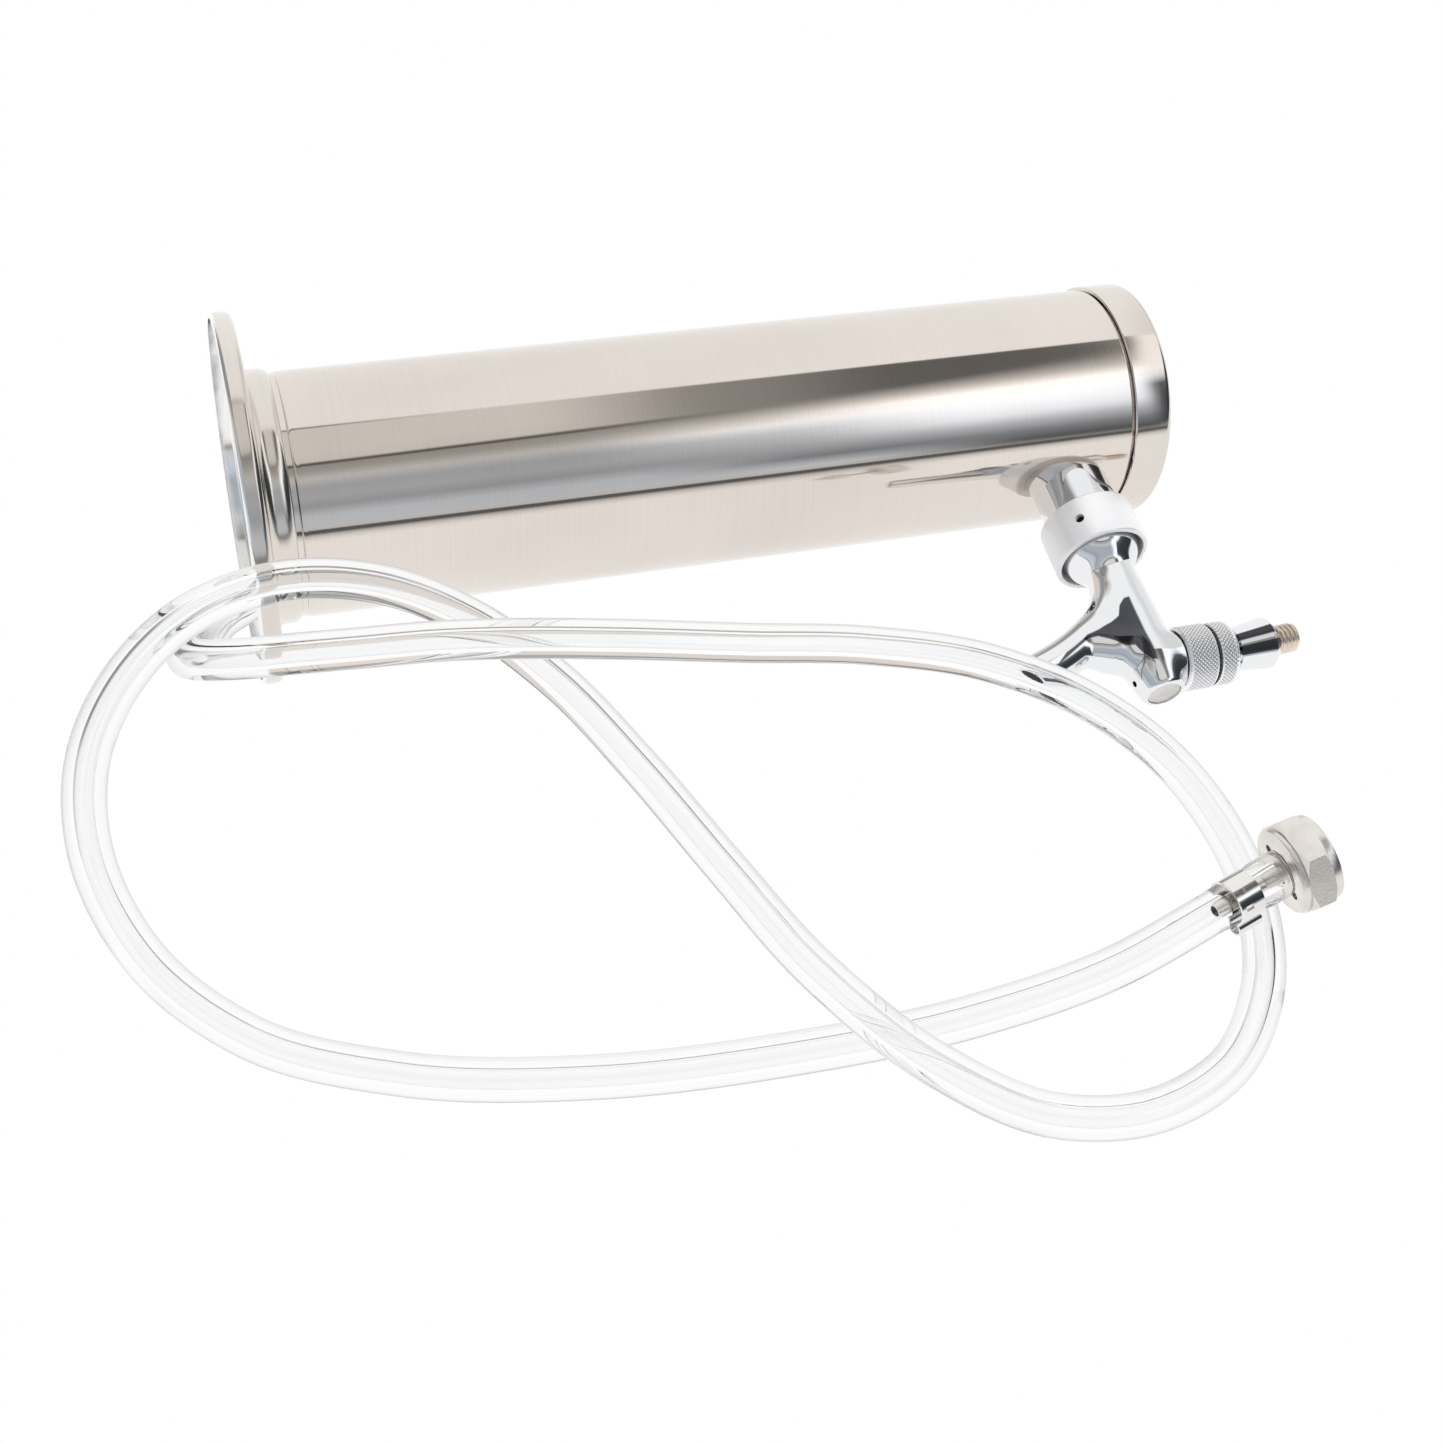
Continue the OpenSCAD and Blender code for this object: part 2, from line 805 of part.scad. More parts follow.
module hose_tailpiece() {
    flange_r = 9;
    barb_end = -24;
    flange_end = tail_flange_z + tail_flange_t;
    color([0.8, 0.78, 0.74])
        at_hose_end()
            rotate_extrude()
                polygon([[tail_bore_r, barb_end], [bore_r - 0.5, barb_end],
                    [bore_r, barb_end + 2], [bore_r, -hose_end_back],
                    [tail_r, -hose_end_back], [tail_r, tail_flange_z],
                    [flange_r, tail_flange_z], [flange_r, flange_end],
                    [tail_bore_r, flange_end]]);
}

module tailpiece_washer() {
    z0 = tail_flange_z + tail_flange_t;
    color([0.12, 0.12, 0.12])
        at_hose_end()
            ring(8.6, 3.2, z0, z0 + 1.2);
}

module beer_nut() {
    shoulder_r = 12.3;
    hex_start = 1.6;
    hex_len = 7.4;
    chamfer = 1.4;
    chamfer_r = 12.9;
    corner_r = nut_af / 2 / cos(30);
    hex_turn = 216;
    notch_r = 1.4;
    notch_at = 7.1;
    color([0.74, 0.72, 0.68])
        on_nut_axis()
            difference() {
                union() {
                    intersection() {
                        translate([0, 0, hex_start])
                            rotate([0, 0, hex_turn])
                                cylinder(r = corner_r, h = hex_len, $fn = 6);
                        rotate_extrude()
                            polygon([[0, hex_start - 1], [chamfer_r, hex_start - 1],
                                [chamfer_r, hex_start],
                                [corner_r + 0.1, hex_start + chamfer],
                                [corner_r + 0.1, hex_start + hex_len - chamfer],
                                [chamfer_r, hex_start + hex_len],
                                [chamfer_r, hex_start + hex_len + 1],
                                [0, hex_start + hex_len + 1]]);
                    }
                    rotate_extrude()
                        polygon([[0, 0], [shoulder_r - 0.5, 0], [shoulder_r, 0.5],
                            [shoulder_r, nut_len - 0.6],
                            [shoulder_r - 0.6, nut_len], [0, nut_len]]);
                }
                translate([0, 0, nut_wall])
                    cylinder(d = nut_bore, h = nut_len);
                translate([0, 0, -1])
                    cylinder(r = nut_hole_r, h = nut_wall + 2);
                for (a = [117, 297])
                    rotate([0, 0, a])
                        translate([notch_at, 0, -1])
                            cylinder(r = notch_r, h = nut_wall + 2, $fn = 32);
            }
}

base_flange();
column_tube();
top_cap();
cap_gasket();
shank_sleeve();
faucet_shank();
shank_washer();
shank_nut();
elbow_tail();
inner_clamp();
inner_hose();
coupling_nut();
coupling_gasket();
faucet_body();
front_plug();
faucet_shaft();
seat_washer();
lever();
ball_washer();
lever_bonnet();
bonnet_seal_ring();
bonnet_collar();
lever_ferrule();
handle_stud();
beer_line();
hose_clamp();
hose_tailpiece();
tailpiece_washer();
beer_nut();
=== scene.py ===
import math

import bmesh
import bpy
import numpy as np
from mathutils import Matrix, Vector


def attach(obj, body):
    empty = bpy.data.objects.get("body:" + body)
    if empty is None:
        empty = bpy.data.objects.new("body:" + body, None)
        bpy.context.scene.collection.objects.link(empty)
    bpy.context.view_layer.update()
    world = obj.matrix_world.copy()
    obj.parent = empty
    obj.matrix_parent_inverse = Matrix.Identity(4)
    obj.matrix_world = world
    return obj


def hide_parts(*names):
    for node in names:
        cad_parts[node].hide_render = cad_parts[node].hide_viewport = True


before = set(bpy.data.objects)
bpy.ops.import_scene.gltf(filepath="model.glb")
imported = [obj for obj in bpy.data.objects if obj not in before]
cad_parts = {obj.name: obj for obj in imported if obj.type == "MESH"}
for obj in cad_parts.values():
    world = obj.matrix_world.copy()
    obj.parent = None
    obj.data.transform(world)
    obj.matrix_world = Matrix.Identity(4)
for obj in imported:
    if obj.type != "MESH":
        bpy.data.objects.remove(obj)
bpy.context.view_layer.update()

MM = 0.001


def turned(degrees, axis):
    return Matrix.Rotation(math.radians(degrees), 4, axis)


def moved(x, y, z):
    """A shift in millimetres."""
    return Matrix.Translation((x * MM, y * MM, z * MM))


def heading(place):
    """Where a frame's +Z points."""
    return place.to_3x3() @ Vector((0, 0, 1))


# ---- the tower's own frame: +Z from flange to cap, -Y towards the faucet ----
ROLL, DIP = 15.6, 93.5
BASE = Vector((-153.9, 30.6, 57.05)) * MM
TOWER = Matrix.Translation(BASE) @ turned(DIP, "Y") @ turned(ROLL, "Z")
SHANK_Z = 264.0
LEVER_T = 108.5
# +Z towards the faucet, at the shank's height
FRONT = TOWER @ moved(0, 0, SHANK_Z) @ turned(90, "X")
# +Z along the bonnet's axis
LEVER = TOWER @ moved(0, -LEVER_T, 0)
# what stands above the lever's ball leans back, as in the closed position
PIVOT_Z, LEAN = 286, 3.8
PIVOT = moved(0, 0, PIVOT_Z)
LEANING = LEVER @ PIVOT @ turned(-LEAN, "X") @ PIVOT.inverted()

NUT_REAR = Vector((97.3, -174.5, 21)) * MM


def aimed(point, turn, rise):
    """A frame at point whose +Z looks along a compass turn and a rise, in degrees."""
    return Matrix.Translation(point) @ turned(turn, "Z") @ turned(90 - rise, "Y")


# the nut hangs askew on the hose's end
HOSE_END = aimed(NUT_REAR, 14, 7)
NUT = aimed(NUT_REAR, 5, 11)


def new_object(name, data):
    obj = bpy.data.objects.new(name, data)
    bpy.context.scene.collection.objects.link(obj)
    return obj


# ---- camera ----


def make_camera():
    data = bpy.data.cameras.new("camera")
    data.lens = 50
    data.sensor_width = 36
    data.clip_start = 0.01
    data.clip_end = 50
    cam = new_object("camera", data)
    right = Vector((0.9578, -0.2875, 0))
    up = Vector((0.1921, 0.64, 0.7439))
    back = -Vector((0.2139, 0.7125, -0.6682))
    place = Matrix((right, up, back)).transposed().to_4x4()
    place.translation = Vector((-159.6, -496.6, 419.7)) * MM
    cam.matrix_world = place
    bpy.context.scene.camera = cam


make_camera()

# ---- mesh helpers: coordinates in millimetres, objects placed by a matrix ----
# a turned piece's points on the axis keep this radius
LEAST_R = 0.002


def add_solid(name, verts, faces, place=Matrix.Identity(4), sharp=32):
    """A closed mesh whose faces all look outwards."""
    mesh = bpy.data.meshes.new(name)
    mesh.from_pydata([tuple(c * MM for c in v) for v in verts], [], faces)
    mesh.validate()
    mesh.update()
    obj = new_object(name, mesh)
    obj.matrix_world = place
    shade(obj, sharp)
    bm = bmesh.new()
    bm.from_mesh(mesh)
    bmesh.ops.recalc_face_normals(bm, faces=bm.faces)
    bm.to_mesh(mesh)
    bm.free()
    mesh.update()
    return obj


def shade(obj, sharp=32):
    mesh = obj.data
    mesh.polygons.foreach_set("use_smooth", [True] * len(mesh.polygons))
    mesh.set_sharp_from_angle(angle=math.radians(sharp))
    mesh.update()


def circle(sides):
    """(cosine, sine) of each corner of a round."""
    turns = [2 * math.pi * k / sides for k in range(sides)]
    return [(math.cos(a), math.sin(a)) for a in turns]


def ring(r, z, sides):
    return [(r * c, r * s, z) for c, s in circle(sides)]


def grid_faces(rows, cols, closed):
    """Quads between rings of cols points; closed joins the last ring to the first, else both
    ends get a lid."""
    out = []
    for i in range(rows if closed else rows - 1):
        for j in range(cols):
            a, b = i * cols + j, i * cols + (j + 1) % cols
            c, d = ((i + 1) % rows) * cols + (j + 1) % cols, ((i + 1) % rows) * cols + j
            out.append((a, b, c, d))
    if not closed:
        out.append(tuple(range(cols))[::-1])
        out.append(tuple((rows - 1) * cols + k for k in range(cols)))
    return out


def lathe(name, profile, place, sides=160, closed=True):
    """Turns (radius, z) pairs about Z. A closed profile is a ring; an open one ends on the axis."""
    verts = []
    for r, z in profile:
        verts += ring(max(r, LEAST_R), z, sides)
    return add_solid(name, verts, grid_faces(len(profile), sides, closed), place)


def arc(cx, cz, r, a0, a1, n=6):
    """Points of an arc in a profile; angles in degrees, 0 along the radius."""
    angles = [math.radians(a0 + (a1 - a0) * k / n) for k in range(n + 1)]
    return [(cx + r * math.cos(a), cz + r * math.sin(a)) for a in angles]


def bake(obj):
    """Applies the modifiers."""
    dg = bpy.context.evaluated_depsgraph_get()
    made = bpy.data.meshes.new_from_object(obj.evaluated_get(dg))
    obj.modifiers.clear()
    obj.data = made
    return obj


def boolean(obj, others, how="DIFFERENCE", sharp=32):
    """Cuts obj by the others, or joins or intersects it with them, and removes them."""
    for o in others:
        m = obj.modifiers.new("cut", "BOOLEAN")
        m.operation = how
        m.solver = "EXACT"
        m.object = o
    bpy.context.view_layer.update()
    bake(obj)
    for o in others:
        bpy.data.objects.remove(o, do_unlink=True)
    shade(obj, sharp)
    return obj


def rod(r, z0, z1, place, sides=64):
    return lathe("cutter", [(0, z0), (r, z0), (r, z1), (0, z1)], place, sides, closed=False)


# ---- node materials ----


class Nodes:
    """A short way to write a node tree."""

    def __init__(self, name):
        self.mat = bpy.data.materials.new(name)
        self.mat.use_nodes = True
        self.tree = self.mat.node_tree
        self.bsdf = self.tree.nodes["Principled BSDF"]

    def add(self, kind, **settings):
        node = self.tree.nodes.new(kind)
        for key, value in settings.items():
            setattr(node, key, value)
        return node

    def link(self, a, b):
        self.tree.links.new(a, b)

    def put(self, socket, value):
        if isinstance(value, bpy.types.NodeSocket):
            self.link(value, socket)
        else:
            socket.default_value = value

    def math(self, how, *values):
        node = self.add("ShaderNodeMath", operation=how)
        for socket, value in zip(node.inputs, values):
            self.put(socket, value)
        return node.outputs[0]

    def coords(self, scale=(1, 1, 1), local=False):
        mapping = self.add("ShaderNodeMapping")
        mapping.inputs["Scale"].default_value = scale
        if local:
            source = self.add("ShaderNodeAttribute", attribute_name="local").outputs["Vector"]
        else:
            source = self.add("ShaderNodeTexCoord").outputs["Object"]
        self.link(source, mapping.inputs["Vector"])
        return mapping.outputs["Vector"]

    def noise(self, scale=(1, 1, 1), size=1.0, detail=2.0, rough=0.5, local=False):
        node = self.add("ShaderNodeTexNoise")
        self.link(self.coords(scale, local), node.inputs["Vector"])
        node.inputs["Scale"].default_value = size
        node.inputs["Detail"].default_value = detail
        node.inputs["Roughness"].default_value = rough
        return node.outputs["Fac"]

    def ramp(self, fac, stops):
        node = self.add("ShaderNodeValToRGB")
        items = node.color_ramp.elements
        while len(items) < len(stops):
            items.new(0.5)
        for item, (pos, col) in zip(items, stops):
            item.position = pos
            item.color = (col, col, col, 1) if isinstance(col, (int, float)) else (*col, 1)
        self.link(fac, node.inputs["Fac"])
        return node.outputs["Color"]

    def span(self, value, low, high, start=0.0, end=1.0, how="LINEAR"):
        """What runs from start to end, mapped to low..high."""
        node = self.add("ShaderNodeMapRange", interpolation_type=how)
        self.link(value, node.inputs["Value"])
        for key, number in (("From Min", start), ("From Max", end), ("To Min", low),
                            ("To Max", high)):
            node.inputs[key].default_value = number
        return node.outputs["Result"]

    def step(self, value, start, end):
        """0 up to start, 1 from end on, smooth between; start above end turns it round."""
        return self.span(value, 0.0, 1.0, start, end, "SMOOTHSTEP")

    def axes(self, vector):
        node = self.add("ShaderNodeSeparateXYZ")
        self.link(vector, node.inputs[0])
        return node.outputs

    def mix(self, fac, a, b, how="MIX"):
        """Colour a where fac is 0 and b where it is 1."""
        node = self.add("ShaderNodeMix", data_type="RGBA", blend_type=how)
        for place, value in zip((0, 6, 7), (fac, a, b)):
            self.put(node.inputs[place], value)
        return node.outputs[2]

    def bump(self, height, strength, distance):
        node = self.add("ShaderNodeBump")
        node.inputs["Strength"].default_value = strength
        node.inputs["Distance"].default_value = distance
        self.link(height, node.inputs["Height"])
        self.link(node.outputs["Normal"], self.bsdf.inputs["Normal"])

    def base(self, **values):
        for key, value in values.items():
            self.put(self.bsdf.inputs[key.replace("_", " ")], value)


TOWER_AXIS = heading(TOWER)
LINE_DEPTH = 0.04 * MM


def brushed(name, light, dark, rough, lines=0.06, aniso=0.0, grain=(14, 14, 2600), patch=16,
            local=True):
    """Steel with fine lines around the local Z axis, faint smudges and uneven gloss."""
    n = Nodes(name)
    fine = n.noise(grain, 1.0, 3.0, 0.6, local)
    smudge = n.noise((1, 1, 0.5), patch, 3.0, 0.55, local)
    n.base(Metallic=1.0, Anisotropic=aniso)
    n.base(Base_Color=n.ramp(n.math("ADD", n.math("MULTIPLY", smudge, 0.75),
                                    n.math("MULTIPLY", fine, 0.25)),
                             [(0.30, dark), (0.66, light)]))
    rough_fac = n.math("ADD", n.math("MULTIPLY", fine, 0.6), n.math("MULTIPLY", smudge, 0.4))
    n.base(Roughness=n.span(rough_fac, rough * 0.6, rough * 1.4))
    if aniso:
        around = n.add("ShaderNodeVectorMath", operation="CROSS_PRODUCT")
        around.inputs[0].default_value = TOWER_AXIS
        n.link(n.add("ShaderNodeNewGeometry").outputs["Normal"], around.inputs[1])
        n.link(around.outputs["Vector"], n.bsdf.inputs["Tangent"])
        n.base(Anisotropic_Rotation=0.25)
    n.bump(fine, lines, LINE_DEPTH)
    return n


def flange_steel():
    """The column's steel; the pressed plate's underside is painted light, a lighter and glossier
    copy.
    """
    n = brushed("flange_steel", (0.80, 0.75, 0.70), (0.69, 0.63, 0.58), 0.15, 0.05)
    x, y, z = n.axes(n.coords(local=True))
    rim_side, plate_face, rim_foot, under_rough = 57.0 * MM, 0.3 * MM, -3.7 * MM, 0.12
    across = n.math("SQRT", n.math("ADD", n.math("POWER", x, 2), n.math("POWER", y, 2)))
    under = n.math("MULTIPLY", n.math("LESS_THAN", across, rim_side),
                   n.math("LESS_THAN", z, plate_face))
    under = n.math("MAXIMUM", under, n.math("LESS_THAN", z, rim_foot))
    # painted light on the underside and the rim's foot: a lighter copy of the steel's colour
    bright = n.ramp(n.noise((90, 90, 900), 1.0, 3.0, 0.6, True),
                    [(0.35, (0.87, 0.86, 0.85)), (0.62, (0.96, 0.955, 0.95))])
    colour = n.bsdf.inputs["Base Color"].links[0].from_socket
    n.base(Base_Color=n.mix(under, colour, bright))
    gloss = n.add("ShaderNodeMix")
    n.link(under, gloss.inputs[0])
    n.link(n.bsdf.inputs["Roughness"].links[0].from_socket, gloss.inputs[2])
    gloss.inputs[3].default_value = under_rough
    n.base(Roughness=gloss.outputs[0])
    return n.mat


def chrome():
    """Mirror chrome with the faint waves and hairlines of polishing."""
    tint, rough = (0.84, 0.845, 0.86), 0.035
    n = Nodes("chrome")
    wave = n.noise(size=90)
    hair = n.noise((30, 400, 400), 1.0, 4.0, 0.7)
    n.base(Metallic=1.0)
    n.base(Base_Color=n.ramp(wave, [(0.3, tuple(c * 0.96 for c in tint)), (0.7, tint)]))
    n.base(Roughness=n.span(n.math("MULTIPLY", hair, wave), rough * 0.5, rough * 2.2))
    n.bump(wave, 0.03, 0.0002)
    return n.mat


def satin(name, light, dark, rough, grain=900.0, strength=0.12, metal=1.0):
    """Blasted or plated metal: fine isotropic grain."""
    n = Nodes(name)
    fine = n.noise((1, 1, 1), grain, 3.0, 0.6)
    patch = n.noise(size=120)
    n.base(Metallic=metal, Base_Color=n.ramp(patch, [(0.35, dark), (0.65, light)]))
    n.base(Roughness=n.span(fine, rough * 0.7, rough * 1.3))
    n.bump(fine, strength, 0.00008)
    return n.mat


def plastic(name, light, dark, rough):
    """Matte plastic or rubber with a faint grain."""
    n = Nodes(name)
    fine = n.noise((1, 1, 1), 700, 3.0, 0.6)
    patch = n.noise(size=60)
    n.base(Base_Color=n.ramp(patch, [(0.3, dark), (0.7, light)]))
    n.base(Roughness=n.span(fine, rough * 0.85, rough * 1.15))
    n.bump(fine, 0.1, 0.0001)
    return n.mat


def vinyl():
    """Clear flexible hose: long faint streaks of the extrusion, and painted shade where it is seen
    edge on.
    """
    n = Nodes("clear_vinyl")
    streak = n.noise((600, 600, 5), 1.0, 1.0, 0.5, True)
    wide = n.noise((260, 260, 3), 1.0, 1.0, 0.5, True)
    both = n.math("ADD", n.math("MULTIPLY", streak, 0.6), n.math("MULTIPLY", wide, 0.4))
    # painted shade: the walls turn grey where seen edge on, standing for the room's dark that
    # refraction would bring in
    weight = n.add("ShaderNodeLayerWeight")
    weight.inputs["Blend"].default_value = 0.5
    edge = n.ramp(weight.outputs["Facing"], [(0.18, 1.0), (0.45, (0.94, 0.942, 0.945)),
                                             (0.70, (0.68, 0.685, 0.695)),
                                             (1.0, (0.36, 0.365, 0.38))])
    tint = n.ramp(both, [(0.36, (0.955, 0.96, 0.963)), (0.50, (0.985, 0.986, 0.988)),
                         (0.62, (1.0, 1.0, 1.0))])
    n.base(Transmission_Weight=1.0, IOR=1.42, Roughness=0.015)
    n.base(Base_Color=n.mix(1.0, tint, edge, "MULTIPLY"))
    n.bump(both, 0.03, 0.0004)
    return n.mat


def casting_chrome():
    """Mirror chrome, painted dark in the saddle between barrel and spout, where a casting
    mirrors the dark part of a room."""
    n = Nodes("cast_chrome")
    wave = n.noise(size=70)
    _, y, z = n.axes(n.coords(local=True))
    up, out = n.math("DIVIDE", y, MM), n.math("DIVIDE", z, MM)
    deep, least_out, reach = 34, 85.0, 30.0
    height = n.math("MULTIPLY_ADD", up, 1 / deep, 1.0)

    def edge(stops):
        """How far out the patch's edge lies at each height, from (height, out) pairs in mm."""
        shares = [((u + deep) / deep, (t - least_out) / reach) for u, t in stops]
        return n.math("MULTIPLY_ADD", n.ramp(height, shares), reach, least_out)

    near = edge([(-33, 107), (-29, 103.5), (-26, 102), (-22.5, 100), (-20, 98.3), (-16, 97.5),
                 (-11, 95.5), (-7.5, 93.5), (-6, 90), (-4, 88), (-2, 87.8)])
    far = edge([(-33, 107.5), (-29, 105.2), (-24, 102.2), (-20, 99.9), (-17, 99.9), (-13, 102.5),
                (-9.5, 105.0), (-6.5, 105.4), (-5, 109), (-3.5, 112), (-2, 113)])
    patch = n.math("MULTIPLY", n.step(n.math("SUBTRACT", out, near), -0.2, 0.4),
                   n.step(n.math("SUBTRACT", far, out), -0.2, 0.4))
    patch = n.math("MULTIPLY", patch, n.step(up, -1.7, -2.5))
    light = n.ramp(wave, [(0.3, (0.83, 0.84, 0.85)), (0.7, (0.86, 0.865, 0.875))])
    dark = n.ramp(wave, [(0.35, (0.07, 0.072, 0.085)), (0.65, (0.11, 0.112, 0.125))])
    n.base(Metallic=1.0, Roughness=0.03, Base_Color=n.mix(patch, light, dark))
    n.bump(wave, 0.02, 0.0002)
    return n.mat


# the ferrule's dark bands: where each starts and ends, in parts of a turn
BAND_TURNS = [(0.05, 0.11), (0.468, 0.530), (0.570, 0.643)]


def ferrule_chrome():
    """Mirror chrome, painted with the dark bands that a polished cone mirrors on its side."""
    n = Nodes("ferrule_chrome")
    wave = n.noise(size=90)
    x, y, _ = n.axes(n.coords(local=True))
    turn = n.math("ARCTAN2", n.math("MULTIPLY", y, -1.0), n.math("MULTIPLY", x, -1.0))
    turn = n.math("MULTIPLY_ADD", turn, 0.5 / math.pi, 0.5)
    turn = n.math("ADD", turn, n.math("MULTIPLY", wave, 0.004))
    light, dark, soft = (0.86, 0.865, 0.875), (0.06, 0.062, 0.07), 0.004
    stops = [(0.0, light)]
    for low, high in BAND_TURNS:
        stops += [(low - soft, light), (low + soft, dark), (high - soft, dark),
                  (high + soft, light)]
    n.base(Metallic=1.0, Roughness=0.04, Base_Color=n.ramp(turn, stops))
    n.bump(wave, 0.02, 0.0002)
    return n.mat


def knurl_metal():
    """Satin nickel, with painted shade in the grooves of its knurl; the attribute groove holds
    their depth.
    """
    n = Nodes("knurled_nickel")
    fine = n.noise((1, 1, 1), 900, 3.0, 0.6)
    deep = n.add("ShaderNodeAttribute", attribute_name="groove").outputs["Fac"]
    # painted shade by each groove's depth, plus a little random grain
    groove_shade_and_grain = n.math("ADD", deep, n.math("MULTIPLY", fine, 0.12))
    n.base(Metallic=1.0)
    n.base(Base_Color=n.ramp(groove_shade_and_grain, [(0.20, (1.0, 1.0, 1.0)), (0.55, (0.95, 0.95, 0.96)),
                                    (0.95, (0.40, 0.40, 0.42))]))
    n.base(Roughness=n.span(fine, 0.30, 0.46))
    return n.mat


STEEL = brushed("column_steel", (0.80, 0.742, 0.69), (0.70, 0.64, 0.59), 0.06, 0.05, 0.6).mat
FLANGE_STEEL = flange_steel()
CAP_STEEL = brushed("cap_steel", (0.80, 0.745, 0.695), (0.71, 0.655, 0.61), 0.07, 0.04).mat
CHROME = chrome()
CAST_CHROME = casting_chrome()
FERRULE_CHROME = ferrule_chrome()
SOFT_CHROME = satin("soft_chrome", (0.97, 0.97, 0.975), (0.93, 0.93, 0.94), 0.34, 500, 0.02,
                    metal=0.45)
BAND_STEEL = brushed("band_steel", (0.86, 0.85, 0.83), (0.74, 0.73, 0.71), 0.08, 0.04,
                     grain=(40, 40, 40), patch=60, local=False).mat
NICKEL = satin("nickel", (0.82, 0.785, 0.74), (0.72, 0.685, 0.645), 0.26, 1100, 0.32)
KNURL = knurl_metal()
COPPER = satin("stud_copper", (0.86, 0.755, 0.66), (0.76, 0.65, 0.55), 0.22)
BRASS = satin("brass", (0.68, 0.54, 0.28), (0.56, 0.43, 0.20), 0.22)
PLUG = satin("plug", (0.76, 0.74, 0.71), (0.66, 0.64, 0.605), 0.45, 500, 0.2)
RUBBER = plastic("black_rubber", (0.035, 0.035, 0.037), (0.02, 0.02, 0.022), 0.55)
NYLON = plastic("grey_nylon", (0.62, 0.62, 0.64), (0.55, 0.55, 0.57), 0.45)
SLIP = plastic("white_slip", (0.86, 0.86, 0.84), (0.80, 0.80, 0.78), 0.4)
VINYL = vinyl()


def keep_local(obj):
    """Bakes the place into the mesh; the attribute local keeps the piece's own coordinates."""
    mesh = obj.data
    if "local" not in mesh.attributes:
        local = mesh.attributes.new("local", "FLOAT_VECTOR", "POINT")
        local.data.foreach_set("vector", [c for v in mesh.vertices for c in v.co])
    mesh.transform(obj.matrix_world)
    mesh.update()
    obj.matrix_world = Matrix.Identity(4)


def finish_piece(obj, mat, slot, body, *nodes):
    """Dresses a piece and says which body it rides and which nodes it stands for."""
    keep_local(obj)
    obj.data.materials.clear()
    obj.data.materials.append(mat)
    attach(obj, body)
    if nodes:
        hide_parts(*nodes)
    return obj


def dress_node(node, mat):
    """Puts a material on a node that is shown in its own shape."""
    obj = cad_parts[node]
    if not obj.material_slots:
        obj.data.materials.append(mat)
    for s in obj.material_slots:
        s.material = mat


# ---- the free hose: its course from the flange's mouth to the nut ----
LEAVES_AT, LEAVES_TO = (16.6, -24, 0), (-0.14, -0.58, -0.8)
MOUTH = TOWER @ (Vector(LEAVES_AT) * MM)
MOUTH_DIR = (TOWER.to_3x3() @ Vector(LEAVES_TO)).normalized()
END_DIR = heading(HOSE_END)
ROUTE = [
    (-168, 3, 35), (-175.5, -10.5, 38), (-180, -23.5, 45), (-178, -37, 53), (-166.5, -47, 58.5),
    (-150.5, -52.5, 61), (-132, -56, 61.5), (-112.5, -59, 61.5), (-92, -62, 60),
    (-61, -66.5, 56), (-24.5, -69, 48), (13.5, -71, 39.5), (48.5, -79, 31), (75.5, -96, 22.5),
    (92, -119, 14.5), (97.5, -146, 8.2), (92.9, -175, 6), (79.5, -202, 6), (58.5, -222, 6.1),
    (33, -228.5, 6.2), (9, -223, 7.8), (-15, -205, 14.6), (-36, -172.5, 21.5),
    (-49.5, -133, 25.5), (-63.5, -95, 33), (-79.5, -63.5, 43), (-99, -41.5, 53),
    (-124, -32, 64.5), (-152, -31.4, 70.7), (-178.5, -40.5, 70.5), (-197.5, -56.5, 65),
    (-209, -76.5, 57), (-212, -98.5, 43.5), (-204, -119, 24), (-182, -141.5, 10.5),
    (-146, -162, 6.6), (-99, -177, 6.2), (-47, -184.5, 6.1), (2.5, -187, 6.9), (44, -186, 12.3)]

STEP_LENGTH = 1.65
HOSE_R, HOSE_BORE_R = 6, 2.5


def smooth_line(points, start_dir, end_dir):
    """The course's curve: Hermite legs whose tangents weigh the two legs' lengths."""
    p = np.array(points, float)
    t = [np.array(start_dir)]
    for i in range(1, len(p) - 1):
        a, b = np.linalg.norm(p[i] - p[i - 1]), np.linalg.norm(p[i + 1] - p[i])
        t.append(((p[i] - p[i - 1]) * (b / a) + (p[i + 1] - p[i]) * (a / b)) / (a + b))
    t.append(np.array(end_dir))
    out = []
    for i in range(len(p) - 1):
        d = np.linalg.norm(p[i + 1] - p[i])
        steps = math.ceil(d / STEP_LENGTH)
        for k in range(steps):
            u = k / steps
            v, w = u * u, u * u * u
            out.append(p[i] * (2 * w - 3 * v + 1) + t[i] * d * (w - 2 * v + u)
                       + p[i + 1] * (3 * v - 2 * w) + t[i + 1] * d * (w - v))
    out.append(p[-1])
    return np.array(out)


def lengths(line):
    """How far along the line each of its points lies."""
    return np.concatenate([[0], np.cumsum(np.linalg.norm(np.diff(line, axis=0), axis=1))])


